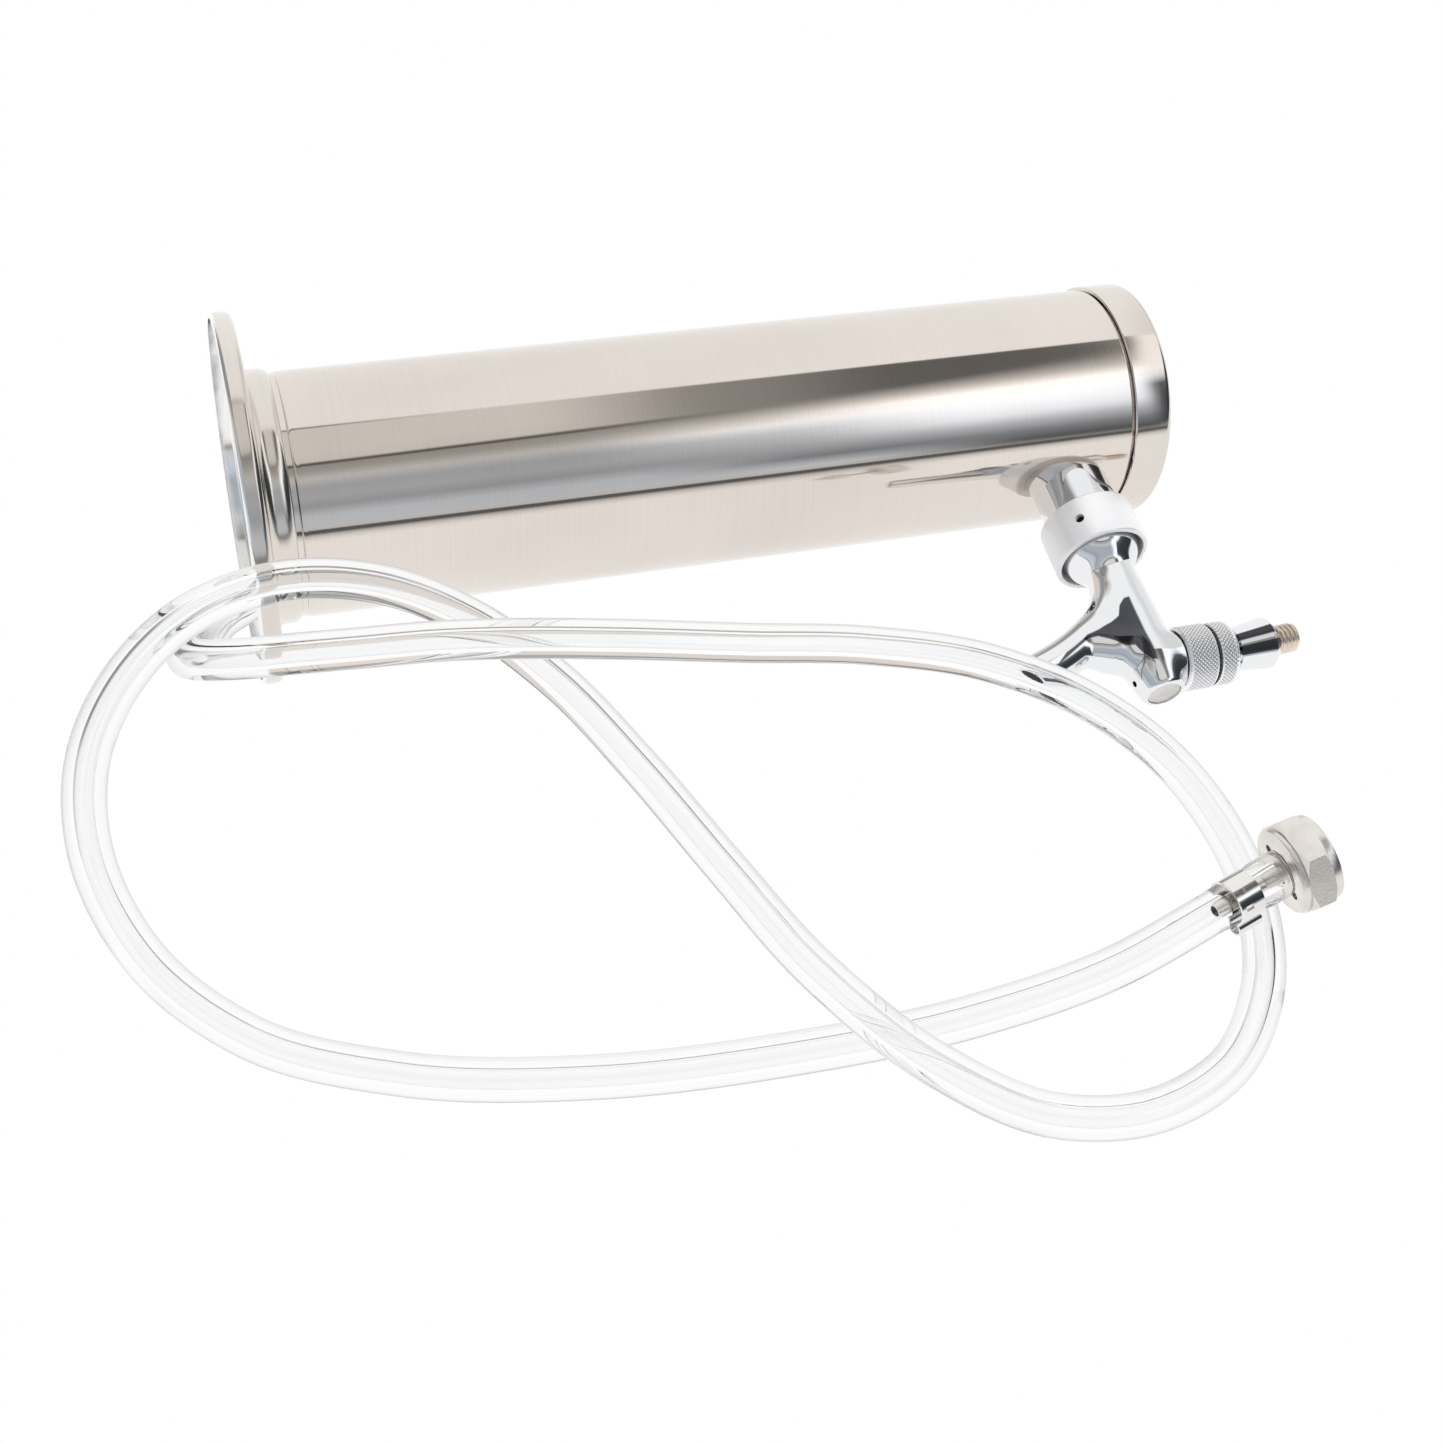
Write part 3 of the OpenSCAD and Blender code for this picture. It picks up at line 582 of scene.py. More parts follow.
def tube(name, line, start_dir, end_dir, outer, inner, sides=36, start=(0, 0, 1)):
    """A hollow tube along a line. outer and inner give each ring's radii."""
    n = len(line)
    d = np.gradient(line, axis=0)
    d[0], d[-1] = start_dir, end_dir
    d /= np.linalg.norm(d, axis=1)[:, None]
    side = np.cross(start, d[0])
    side /= np.linalg.norm(side)
    rings = []
    for i in range(n):
        side = side - d[i] * (side @ d[i])
        side /= np.linalg.norm(side)
        rings.append((side.copy(), np.cross(d[i], side)))
    along = lengths(line)
    verts, flat = [], []
    for radii in (outer, inner[::-1]):
        order = range(n) if radii is outer else range(n - 1, -1, -1)
        for r, i in zip(radii, order):
            s, t = rings[i]
            for cosine, sine in circle(sides):
                verts.append(line[i] + r * (cosine * s + sine * t))
                flat += [HOSE_R * MM * cosine, HOSE_R * MM * sine, along[i] * MM]
    obj = add_solid(name, verts, grid_faces(2 * n, sides, True), sharp=50)
    # the hose's own coordinates: round it, and along it
    obj.data.attributes.new("local", "FLOAT_VECTOR", "POINT").data.foreach_set("vector", flat)
    return obj


def make_hose():
    rear = NUT_REAR / MM
    tail = [rear - 26 * END_DIR, rear - 0.32 * END_DIR]
    course = [MOUTH / MM] + [Vector(p) for p in ROUTE] + tail
    line = smooth_line(course, MOUTH_DIR, END_DIR)
    along = lengths(line)
    # how far each ring is from the hose's end, where tailpiece and clamp shape it
    left = along[-1] - along
    swell = 0.54 * np.clip((10.5 - left) / 3, 0, 1) + 0.3 * np.clip((24 - left) / 4, 0, 1)
    squeeze = 0.55 * np.exp(-(((left - 13.9) / 3.4) ** 4))
    outer = HOSE_R - 0.14 + swell - squeeze
    inner = HOSE_BORE_R + 0.05 * np.clip((22 - left) / 3, 0, 1)
    outer[0] -= 0.3
    # its end lies flat against the nut, which hangs askew
    hose = tube("beer_line_free", line, MOUTH_DIR, heading(NUT), list(outer), list(inner), 64)
    finish_piece(hose, VINYL, "clear_hose", "tower", "beer_line")
    # the steel and the chrome don't mirror the hose
    hose.visible_glossy = False
    return hose, [tuple(p * MM) for p in line], along[-1] * MM


HOSE, HOSE_PATH, HOSE_LENGTH = make_hose()


def make_inner_hose():
    """The same hose inside the column, from the elbow's barb down to the mouth."""
    course = [(0, 0, 251), (0, 0, 230), (0, 0, 176), (7, -7, 110), (14, -14.5, 50),
              (16.8, -18.8, 14), LEAVES_AT]
    down, out = np.array((0, 0, -1.0)), np.array(LEAVES_TO)
    line = smooth_line(course, down, out / np.linalg.norm(out))
    obj = tube("beer_line_inner", line, down, out, [HOSE_R - 0.03] * len(line),
               [HOSE_BORE_R + 0.02] * len(line), start=(0, 1, 0))
    obj.matrix_world = TOWER
    finish_piece(obj, VINYL, "clear_hose", "tower", "inner_hose")


make_inner_hose()

# ---- column, flange and cap ----
COLUMN_R = 38.1


def make_column():
    """A tube, a little narrower where the flange's neck holds it."""
    groove, r, inner = 37.6, COLUMN_R, 36.9
    profile = [(inner, 0), (groove, 0), (groove, 12.2)]
    profile += [(groove + 0.5 * math.sin(a), 14.4 - 2.2 * math.cos(a))
                for a in [math.radians(9 * k) for k in range(1, 11)]]
    profile += [(r, 60), (r, 150), (r, 230), (r, 281.5)] + arc(r - 0.4, 281.6, 0.4, 0, 90, 4)
    profile += [(inner, 282)]
    finish_piece(lathe("column", profile, TOWER, 256), STEEL, "brushed", "tower", "column_tube")


def make_flange():
    """A plate with a turned-down rim outside and a neck collar inside."""
    mouth, collar, rim, thick, drop, wall = 37.65, 39.3, 57.14, 2.2, 4.2, 1.6
    profile = [(mouth, 0), (rim - wall - 0.8, 0)] + arc(rim - wall - 0.8, -0.8, 0.8, 90, 0, 5)
    profile += [(rim - wall, -drop)]
    profile += arc(rim - wall, wall - drop, wall, 270, 360, 12) + [(rim, -0.6)]
    profile += arc(rim - thick, 0, thick, 0, 90, 14)
    profile += [(50, thick), (44, thick)]
    profile += arc(collar + 3.5, thick + 3.5, 3.5, 270, 180, 12)
    profile += [(collar - 1.6 + 1.6 * math.cos(a), 7 + 3.55 * math.sin(a))
                for a in [math.radians(9 * k) for k in range(0, 11)]]
    profile += [(mouth, 10.58)]
    flange = lathe("flange", profile, TOWER, 224)
    bolt_r, circle_r = 2.5, 47.5
    boolean(flange, [rod(bolt_r, -2, 5, TOWER @ turned(a, "Z") @ moved(circle_r, 0, 0))
                     for a in (-60, 30, 120, 210)])
    finish_piece(flange, FLANGE_STEEL, "brushed", "tower", "base_flange")


def make_cap():
    """A cap with a rounded edge; its spigot sits in the column."""
    low, z0, top = 277.4, 282.6, 295.8
    r, wall, spigot_r = 39.1, 1.2, 36.82
    profile = [(0, top), (12, top), (24, top)] + arc(r - 2, top - 2, 2, 90, 0, 12)
    profile += [(r, z0 + 0.5)] + arc(r - 0.4, z0 + 0.4, 0.4, 0, -90, 4)
    profile += [(spigot_r, z0), (spigot_r, low), (34.6, low), (34.6, z0 + wall),
                (r - wall, z0 + wall), (r - wall, top - 2), (r - 2, top - wall), (0, top - wall)]
    finish_piece(lathe("cap", profile, TOWER, 224), CAP_STEEL, "brushed", "cap", "top_cap")


make_column()
make_flange()
make_cap()

# ---- adapter sleeve and coupling nut ----


def make_sleeve():
    """A short tube whose foot follows the column's round."""
    r, bore, front, sides = 12.5, 11.1, 49.5, 160
    verts = [(r * c, r * s, math.sqrt((COLUMN_R + 0.02) ** 2 - (r * c) ** 2))
             for c, s in circle(sides)]
    outline = [(r, 44)] + arc(r - 0.5, front - 0.5, 0.5, 0, 90, 5) + [(bore, front), (bore, 36.6)]
    for rr, z in outline:
        verts += ring(rr, z, sides)
    obj = add_solid("sleeve", verts, grid_faces(len(outline) + 1, sides, True), FRONT)
    finish_piece(obj, CHROME, "chrome", "tower", "shank_sleeve")


def make_coupling():
    """A round nut with three spanner holes."""
    rear, front, r = 50.0, 66.4, 15.5
    profile = [(12.35, rear)] + arc(r - 0.9, rear + 0.9, 0.9, -90, 0, 6)
    profile += arc(r - 0.9, front - 0.9, 0.9, 0, 90, 6)
    profile += [(14.1, front), (13.85, front - 0.4), (13.85, rear + 3), (12.35, rear + 3)]
    nut = lathe("coupling", profile, FRONT, 192)
    spanner_r = 1.5
    boolean(nut, [rod(spanner_r, 0, 4, FRONT @ turned(a, "Z") @ moved(12.8, 0, rear + 8)
                      @ turned(90, "Y"), 40) for a in (215, 335, 95)])
    finish_piece(nut, SOFT_CHROME, "chrome", "tower", "coupling_nut")


make_sleeve()
make_coupling()

# ---- faucet body: one smooth casting, drawn from a blended distance field ----
# the spout bends about (BEND_T, BEND_U) between SWEEP's two angles
BEND_R, BEND_T, BEND_U, SPOUT_R, SPOUT_BORE_R = 85.0, 24.95, -63.64, 6.5, 4.8
SWEEP = (math.radians(134), math.radians(164))
BARREL_START, BARREL_END, BARREL_EDGE = 60, 120.2, 1.1
PLUG_R, PLUG_REAR, PLUG_FRONT = 5.38, 116.5, 119.9
# (distance from the column's axis, radius) along the barrel
BARREL_STOPS = [(60, 12.9), (64.8, 12.6), (66.0, 12.3), (67.6, 11.7), (69.2, 10.7), (70.6, 9.6),
                (71.8, 8.7), (73.0, 8.2), (75.0, 8.1), (79, 8.35), (86, 8.65), (94, 8.95),
                (102, 9.1), (109, 9.0), (113, 8.6), (116, 8.0), (118.6, 7.25), (120.4, 6.6),
                (123, 5.9)]
BARREL_T = np.linspace(58, 123, 400)
BARREL_R = np.interp(BARREL_T, *zip(*BARREL_STOPS))
for _ in range(60):
    BARREL_R[1:-1] = (BARREL_R[:-2] + 2 * BARREL_R[1:-1] + BARREL_R[2:]) / 4


def blend_min(a, b, k):
    """The lesser of two fields, with a fillet about k wide where they meet."""
    h = np.clip(0.5 + 0.5 * (b - a) / k, 0, 1)
    return b * (1 - h) + a * h - k * h * (1 - h)


def casting(p):
    """Distance-like field of the faucet body; p holds (x, t, u) rows in mm: across, outwards
    from the column, and up."""
    x, t, u = p[:, 0], p[:, 1], p[:, 2]
    radial = np.hypot(x, u)
    wall = radial - np.interp(t, BARREL_T, BARREL_R)
    barrel = np.maximum(wall * 0.95, BARREL_START - t)
    over = np.maximum(t - (BARREL_END - BARREL_EDGE), 0)
    rounded = np.hypot(np.maximum(wall + BARREL_EDGE, 0), over) - BARREL_EDGE
    barrel = np.maximum(np.where(t > 112, rounded, barrel), t - BARREL_END)
    # the spout: a stretch of a torus, square at its mouth, rounded at its root
    y, z = -(t - BEND_T), u - BEND_U
    ang = np.arctan2(z, y) % (2 * math.pi)
    spout = np.hypot(x, np.hypot(y, z) - BEND_R) - SPOUT_R
    spout = np.maximum(spout, (ang - SWEEP[1]) * BEND_R)
    low = (SWEEP[0] - ang) * BEND_R
    tail = np.sqrt(np.maximum(spout + SPOUT_R, 0) ** 2 + low ** 2) - SPOUT_R
    spout = np.where(low > 0, tail, spout)
    # the ball that fills the corner between barrel and spout
    web = np.sqrt(x ** 2 + (t - 101) ** 2 + (u + 11) ** 2) - 7.9
    # the bonnet's neck
    neck = np.maximum(np.hypot(x, t - LEVER_T) - 8.7, np.maximum(-2 - u, u - 9.5))
    both = blend_min(barrel, blend_min(spout, web, 5.0), 5.0)
    return blend_min(both, neck, 3.0)


def make_casting():
    low, high = np.array([-16.0, 58.0, -45.0]), np.array([16.0, 122.5, 16.0])
    obj = surface_of(casting, low, high, 0.6, "faucet")
    plug_seat = rod(PLUG_R + 0.04, PLUG_REAR, 124, FRONT, 96)
    bores = lathe("cutter", [(0, 55), (6.4, 55), (6.4, 72), (4.9, 72), (4.9, 97), (4.05, 97),
                             (4.05, 117), (0, 117)], FRONT, 96, closed=False)
    slot = stem_slot()
    vent = rod(1.0, 0, 12, FRONT @ moved(0, 0, 115) @ turned(90, "X"), 32)
    obj = boolean(obj, [plug_seat, bores, slot, vent, spout_bore()], sharp=30)
    finish_piece(obj, CAST_CHROME, "chrome", "tower", "faucet_body")
    smooth_by_field(obj, casting)


def stem_slot():
    """The wedge that the lever's stem swings in, below the bonnet."""
    outline, half_width = [(3.4, 21), (-4, 21), (-11.6, -5), (3.4, -5)], 3.6
    verts = [(x, u, LEVER_T + dt) for x in (-half_width, half_width) for dt, u in outline]
    faces = [(0, 1, 2, 3), (7, 6, 5, 4)]
    faces += [(k, 4 + k, 4 + (k + 1) % 4, (k + 1) % 4) for k in range(4)]
    return add_solid("cutter", verts, faces, FRONT)


def smooth_by_field(obj, field):
    """Gives the faces on the field's surface the field's own normals."""
    mesh = obj.data
    co = np.empty(len(mesh.vertices) * 3)
    mesh.vertices.foreach_get("co", co)
    turn = np.array(FRONT.inverted().to_3x3())
    shift = np.array(FRONT.inverted().translation)
    at = (co.reshape(-1, 3) @ turn.T + shift) / MM
    p = at[:, [0, 2, 1]]
    reach, near, least_dot = 0.25, 0.2, 0.05
    grad = np.stack([field(p + d) - field(p - d) for d in np.eye(3) * reach], 1)
    grad /= np.maximum(np.linalg.norm(grad, axis=1), 1e-9)[:, None]
    shown = grad[:, [0, 2, 1]] @ np.array(FRONT.to_3x3()).T
    on = (np.abs(field(p)) < near) & (p[:, 1] < PLUG_FRONT)
    normals = []
    for face in mesh.polygons:
        own = face.normal
        smooth = all(on[i] for i in face.vertices)
        for i in face.vertices:
            n = Vector(shown[i])
            normals.append(n if smooth and n.dot(own) > least_dot else own)
    mesh.normals_split_custom_set(normals)


def spout_bore():
    """The spout's bore, as a bent rod that runs out past the spout's end."""
    sides, rows = 64, 24
    start, past = math.radians(141), 0.06
    verts = []
    for i in range(rows + 1):
        a = start + (SWEEP[1] + past - start) * i / rows
        for c, s in circle(sides):
            r = BEND_R + SPOUT_BORE_R * c
            # FRONT's axes: x across, y up, z outwards
            verts.append((SPOUT_BORE_R * s, BEND_U + r * math.sin(a), BEND_T - r * math.cos(a)))
    return add_solid("cutter", verts, grid_faces(rows + 1, sides, False), FRONT)


def surface_of(field, low, high, step, name):
    """Marching tetrahedra over a grid, then each point is slid onto the field's zero."""
    n = np.ceil((high - low) / step).astype(int) + 1
    axes = [low[i] + step * np.arange(n[i]) for i in range(3)]
    grid = np.stack(np.meshgrid(*axes, indexing="ij"), -1).reshape(-1, 3)
    value = field(grid)
    inside = value < 0
    ids = np.arange(len(grid)).reshape(n)
    cube = [ids[a:n[0] - 1 + a, b:n[1] - 1 + b, c:n[2] - 1 + c].ravel()
            for a in (0, 1) for b in (0, 1) for c in (0, 1)]
    tets = [(0, 1, 3, 7), (0, 1, 7, 5), (0, 5, 7, 4), (0, 4, 7, 6), (0, 6, 7, 2), (0, 2, 7, 3)]
    edges, tris = {}, []
    verts = []

    def cross(a, b):
        key = (a, b) if a < b else (b, a)
        if key not in edges:
            f = value[a] / (value[a] - value[b])
            edges[key] = len(verts)
            verts.append(grid[a] + (grid[b] - grid[a]) * f)
        return edges[key]

    for tet in tets:
        corners = np.stack([cube[i] for i in tet], 1)
        count = inside[corners].sum(1)
        for row in corners[(count > 0) & (count < 4)]:
            ins = [int(v) for v in row if inside[v]]
            out = [int(v) for v in row if not inside[v]]
            if len(ins) == 1:
                tris.append([cross(ins[0], o) for o in out])
            elif len(ins) == 3:
                tris.append([cross(i, out[0]) for i in ins])
            else:
                q = [cross(ins[0], out[0]), cross(ins[0], out[1]),
                     cross(ins[1], out[1]), cross(ins[1], out[0])]
                tris.append([q[0], q[1], q[2]])
                tris.append([q[0], q[2], q[3]])
    faces = np.array(tris)
    p = relax(field, np.array(verts), faces)
    whole = [tuple(int(i) for i in f) for f in faces if len(set(f)) == 3]
    # (x, t, u) to FRONT's axes (x across, y up, z outwards)
    return add_solid(name, p[:, [0, 2, 1]], whole, FRONT, 40)


def relax(field, p, faces):
    """Evens the triangles and puts the points on the surface."""
    rounds, slides, reach = 8, 3, 0.02
    pairs = np.concatenate([faces[:, [0, 1]], faces[:, [1, 2]], faces[:, [2, 0]]])
    pairs = np.concatenate([pairs, pairs[:, ::-1]])
    degree = np.bincount(pairs[:, 0], minlength=len(p))[:, None]
    for _ in range(rounds):
        near = np.zeros_like(p)
        np.add.at(near, pairs[:, 0], p[pairs[:, 1]])
        p = p + 0.5 * (near / np.maximum(degree, 1) - p)
        for _ in range(slides):
            f = field(p)
            grad = np.stack([(field(p + d) - field(p - d)) / (2 * reach)
                             for d in np.eye(3) * reach], 1)
            size = np.maximum((grad ** 2).sum(1), 0.2)
            p = p - np.clip(f / size, -0.5, 0.5)[:, None] * grad
    return p


make_casting()


def make_plug():
    r, z0, z1 = PLUG_R, PLUG_REAR, PLUG_FRONT
    profile = [(0, z0), (r, z0)] + arc(r - 0.3, z1 - 0.3, 0.3, 0, 90, 4) + [(2, z1), (0, z1)]
    finish_piece(lathe("plug_disc", profile, FRONT, 96, closed=False), PLUG, "plug_grey", "tower",
                 "front_plug")


make_plug()

# ---- lever, bonnet and collar ----
KNURL_PITCH, KNURL_DEPTH, KNURL_SIDES, KNURL_ROW = 1.35, 0.22, 900, 0.12


def knurled(name, profile, z0, z1):
    """A turned piece whose stretch z0..z1 carries a diamond knurl."""
    pitch, sides = KNURL_PITCH, KNURL_SIDES
    fine = []
    for (r0, a), (r1, b) in zip(profile, profile[1:] + profile[:1]):
        steps = 1
        if min(a, b) >= z0 - 1e-6 and max(a, b) <= z1 + 1e-6 and abs(b - a) > 1:
            steps = int(abs(b - a) / KNURL_ROW)
        for k in range(steps):
            fine.append((r0 + (r1 - r0) * k / steps, a + (b - a) * k / steps))
    big = max(r for r, _ in profile)
    around = round(2 * math.pi * big / pitch)
    ks = 2 * math.pi * np.arange(sides) / sides
    verts, grooves = [], []
    for r, z in fine:
        cut = np.zeros(sides)
        if z0 <= z <= z1 and r > big - 0.5:
            fade = min(1, (z - z0) / 0.3, (z1 - z) / 0.3)
            u, v = ks * around / (2 * math.pi), (z - z0) / pitch
            one = np.abs((u + v) % 1 - 0.5) * 2
            two = np.abs((u - v) % 1 - 0.5) * 2
            cut = fade * (1 - np.minimum(one, two)) ** 1.3
        rr = r - KNURL_DEPTH * cut
        verts += [(rr[k] * math.cos(ks[k]), rr[k] * math.sin(ks[k]), z) for k in range(sides)]
        grooves += list(cut)
    obj = add_solid(name, verts, grid_faces(len(fine), sides, True), LEVER, 60)
    # the grooves' depth, which the knurled nickel material paints as shade
    obj.data.attributes.new("groove", "FLOAT", "POINT").data.foreach_set("value", grooves)
    return obj


def make_bonnet():
    z0, z1, r = 272.6, 283.2, 10.35
    profile = [(9.22, z0), (r - 0.9, z0), (r, z0 + 0.9), (r, z1 - 0.9), (r - 0.9, z1), (9.22, z1)]
    finish_piece(knurled("bonnet", profile, z0 + 0.9, z1 - 0.9), KNURL, "knurled_nickel",
                 "tower", "lever_bonnet")


def make_collar():
    z0, z1, r = 283.7, 290.3, 10.15
    profile = [(6.2, z0), (r - 0.7, z0), (r, z0 + 0.7), (r, z1 - 1.4), (r - 0.3, z1 - 0.6),
               (r - 0.85, z1), (8.3, z1), (7.4, 289.4), (5.0, 289.4), (5.0, 288.5),
               (5.55, 286.5), (6.2, 285)]
    finish_piece(knurled("collar", profile, z0 + 0.5, z1 - 1.2), KNURL, "knurled_nickel",
                 "tower", "bonnet_collar")


def make_lever():
    """The ball and the rod above it lean back; the stem below stands square to the barrel."""
    ball = arc(0, PIVOT_Z, 5.5, -60, 50, 24)
    stem = lathe("lever_stem", [(0, 263), (1.7, 263), (2.5, 264), (2.5, 283), (0, 283)], LEVER,
                 64, closed=False)
    top = lathe("lever_top", ball + [(3.2, 290.6), (3.2, 298), (0, 298)], LEANING, 96,
                closed=False)
    finish_piece(boolean(top, [stem], "UNION"), CHROME, "chrome", "lever_arm", "lever")


def make_ferrule():
    z0, top, rod_r, stud_r = 292.6, 307.3, 3.22, 4.52
    profile = [(rod_r, z0)] + arc(6.85 - 0.4, z0 + 0.4, 0.4, -90, -10, 4)
    profile += [(8.2, 304.1)] + arc(7.7, 304.4, 0.6, 0, 45, 4)
    profile += [(6.3, 307.0), (6.0, top), (stud_r, top), (stud_r, 298), (rod_r, 298)]
    finish_piece(lathe("ferrule", profile, LEANING, 128), FERRULE_CHROME, "chrome", "lever_arm",
                 "lever_ferrule")


def make_stud():
    """A screw thread on a stud with a chamfered end, plain where the ferrule hides it."""
    r, plain_r, pitch, half_depth = 4.74, 4.48, 1.6, 0.32
    z0, thread_z, z1, sides, rows = 298.0, 307.35, 315.6, 96, 260
    verts = []
    for i in range(rows + 1):
        z = z0 + (z1 - z0) * i / rows
        end = min(1.0, z1 - z)
        for k, (cosine, sine) in enumerate(circle(sides)):
            w = abs(((z - z0) / pitch - k / sides) % 1 - 0.5) * 2
            slope = math.pi * min(1, max(0, (w - 0.1) / 0.8))
            cut = half_depth - half_depth * math.cos(slope)
            rr = min(r - cut, r - 1 + end) if z > thread_z else plain_r
            verts.append((rr * cosine, rr * sine, z))
    obj = add_solid("stud", verts, grid_faces(rows + 1, sides, False), LEANING, 45)
    finish_piece(obj, COPPER, "copper_stud", "lever_arm", "handle_stud")


make_bonnet()
make_collar()
make_lever()
make_ferrule()
make_stud()

# ---- the hose's end: tailpiece, clamp, washer and nut ----


def make_tailpiece():
    """A barbed tube with a collar, and the flange that the nut pulls on."""
    barbs = []
    for z in (-21, -17, -13, -9, -5):
        barbs += [(2.15, z - 1.9), (2.5, z + 1.2), (2.2, z + 1.4)]
    profile = [(1.6, -24), (2.0, -24)] + barbs + [(2.5, -1.6), (5.1, -1.45), (5.1, 4.4)]
    profile += [(5.4, 4.9), (8.7, 4.9), (9, 5.2), (9, 5.8), (8.7, 6.1), (1.6, 6.1)]
    return finish_piece(lathe("tailpiece", profile, HOSE_END, 96), NICKEL, "nickel", "tower",
                        "hose_tailpiece")


def make_washer():
    profile = [(3.2, 6.1), (8.4, 6.1), (8.6, 6.3), (8.6, 7.1), (8.4, 7.3), (3.2, 7.3)]
    return finish_piece(lathe("washer", profile, HOSE_END, 96), RUBBER, "black_rubber", "tower",
                        "tailpiece_washer")


BOX_FACES = [(0, 1, 3, 2), (4, 6, 7, 5), (0, 4, 5, 1), (2, 3, 7, 6), (0, 2, 6, 4), (1, 5, 7, 3)]


def make_clamp():
    """A one-ear band: the strip follows the hose, and its ends meet in an ear."""
    r, t, width = 6.02, 0.7, 8.0
    ear, ear_r = r + 1.4, 2.6
    round_steps, ear_steps = 120, 40
    half = math.acos((r ** 2 + ear ** 2 - ear_r ** 2) / (2 * r * ear))
    path = []
    for k in range(round_steps + 1):
        a = half + (2 * math.pi - 2 * half) * k / round_steps
        path.append((r * math.cos(a), r * math.sin(a)))
    start = math.atan2(-r * math.sin(half), r * math.cos(half) - ear)
    for k in range(1, ear_steps):
        a = start + (-2 * start) * k / ear_steps
        path.append((ear + (ear_r - t) * math.cos(a), (ear_r - t) * math.sin(a)))
    pts = np.array(path)
    d = np.roll(pts, -1, 0) - np.roll(pts, 1, 0)
    d /= np.linalg.norm(d, axis=1)[:, None]
    out = np.stack([d[:, 1], -d[:, 0]], 1)
    edge = 0.15
    section = [(0, edge), (0, width - edge), (edge, width), (t - edge, width), (t, width - edge),
               (t, edge), (t - edge, 0), (edge, 0)]
    verts = []
    for q, o in zip(pts, out):
        for h, z in section:
            verts.append((q[0] + o[0] * h, q[1] + o[1] * h, z - width / 2))
    place = HOSE_END @ moved(0, 0, -15.4) @ turned(330, "Z")
    obj = add_solid("clamp", verts, grid_faces(len(pts), len(section), True), place, 40)
    # the band's two locking slots
    slots = []
    for turn, long, wide in ((202, 1.7, 0.9), (246, 2.4, 0.8)):
        at = HOSE_END @ turned(turn, "Z") @ moved(6.4, 0, -16.6)
        box = [(x, y, z) for x in (-0.3, 1.5) for y in (-wide, wide)
               for z in (-long / 2, long / 2)]
        slots.append(add_solid("cutter", box, BOX_FACES, at))
    boolean(obj, slots, sharp=40)
    return finish_piece(obj, BAND_STEEL, "steel", "tower", "hose_clamp")


def make_nut():
    """A hexagon with chamfered corners on a round body, bored, with two notches at the rear."""
    hex_rear, hex_front, chamfer = 1.6, 1.6 + 7.4, 1.4
    corner = 25.4 / 2 / math.cos(math.radians(30))
    prism = []
    for z in (hex_rear, hex_front):
        for k in range(6):
            a = math.radians(216 + 60 * k)
            prism.append((corner * math.cos(a), corner * math.sin(a), z))
    faces = [(5, 4, 3, 2, 1, 0), (6, 7, 8, 9, 10, 11)]
    faces += [(k, (k + 1) % 6, 6 + (k + 1) % 6, 6 + k) for k in range(6)]
    hexagon = add_solid("hexagon", prism, faces, NUT)
    end_r, wide_r, r = 12.9, corner + 0.1, 12.3
    cone = [(0, 0), (end_r, 0), (end_r, hex_rear), (wide_r, hex_rear + chamfer),
            (wide_r, hex_front - chamfer), (end_r, hex_front), (end_r, 11), (0, 11)]
    boolean(hexagon, [lathe("cutter", cone, NUT, 192, closed=False)], "INTERSECT")
    outline = [(0, 0), (11.8, 0), (12.15, 0.15), (r, 0.5), (r, 11.2), (12.15, 11.6), (11.7, 11.8),
               (0, 11.8)]
    body = lathe("beer_nut_body", outline, NUT, 192, closed=False)
    nut = boolean(hexagon, [body], "UNION")
    bore = [(0, 3), (10.75, 3), (10.75, 11.2), (11.3, 11.81), (11.3, 13), (0, 13)]
    cutters = [lathe("cutter", bore, NUT, 160, closed=False), rod(6.6, -1, 5, NUT, 96)]
    cutters += [rod(1.4, -1, 5, NUT @ turned(a, "Z") @ moved(7.1, 0, 0), 48) for a in (117, 297)]
    boolean(nut, cutters, sharp=25)
    bevel = nut.modifiers.new("edge", "BEVEL")
    bevel.width = 0.22 * MM
    bevel.segments = 2
    bevel.limit_method = "ANGLE"
    bevel.angle_limit = math.radians(35)
    bpy.context.view_layer.update()
    bake(nut)
    nut.name = "nut_hex"
    shade(nut, 40)
    return finish_piece(nut, NICKEL, "nickel", "nut", "beer_nut")


END_PIECES = [make_tailpiece(), make_washer(), make_clamp(), make_nut()]

# ---- the nodes that no piece replaces ----
for node, mat in {
        "cap_gasket": RUBBER, "faucet_shank": CHROME, "shank_washer": NYLON, "shank_nut": BRASS,
        "elbow_tail": BAND_STEEL, "inner_clamp": BAND_STEEL, "coupling_gasket": RUBBER,
        "faucet_shaft": BAND_STEEL, "seat_washer": RUBBER, "ball_washer": SLIP,
        "bonnet_seal_ring": RUBBER}.items():
    dress_node(node, mat)

# ---- floor, world and lights ----


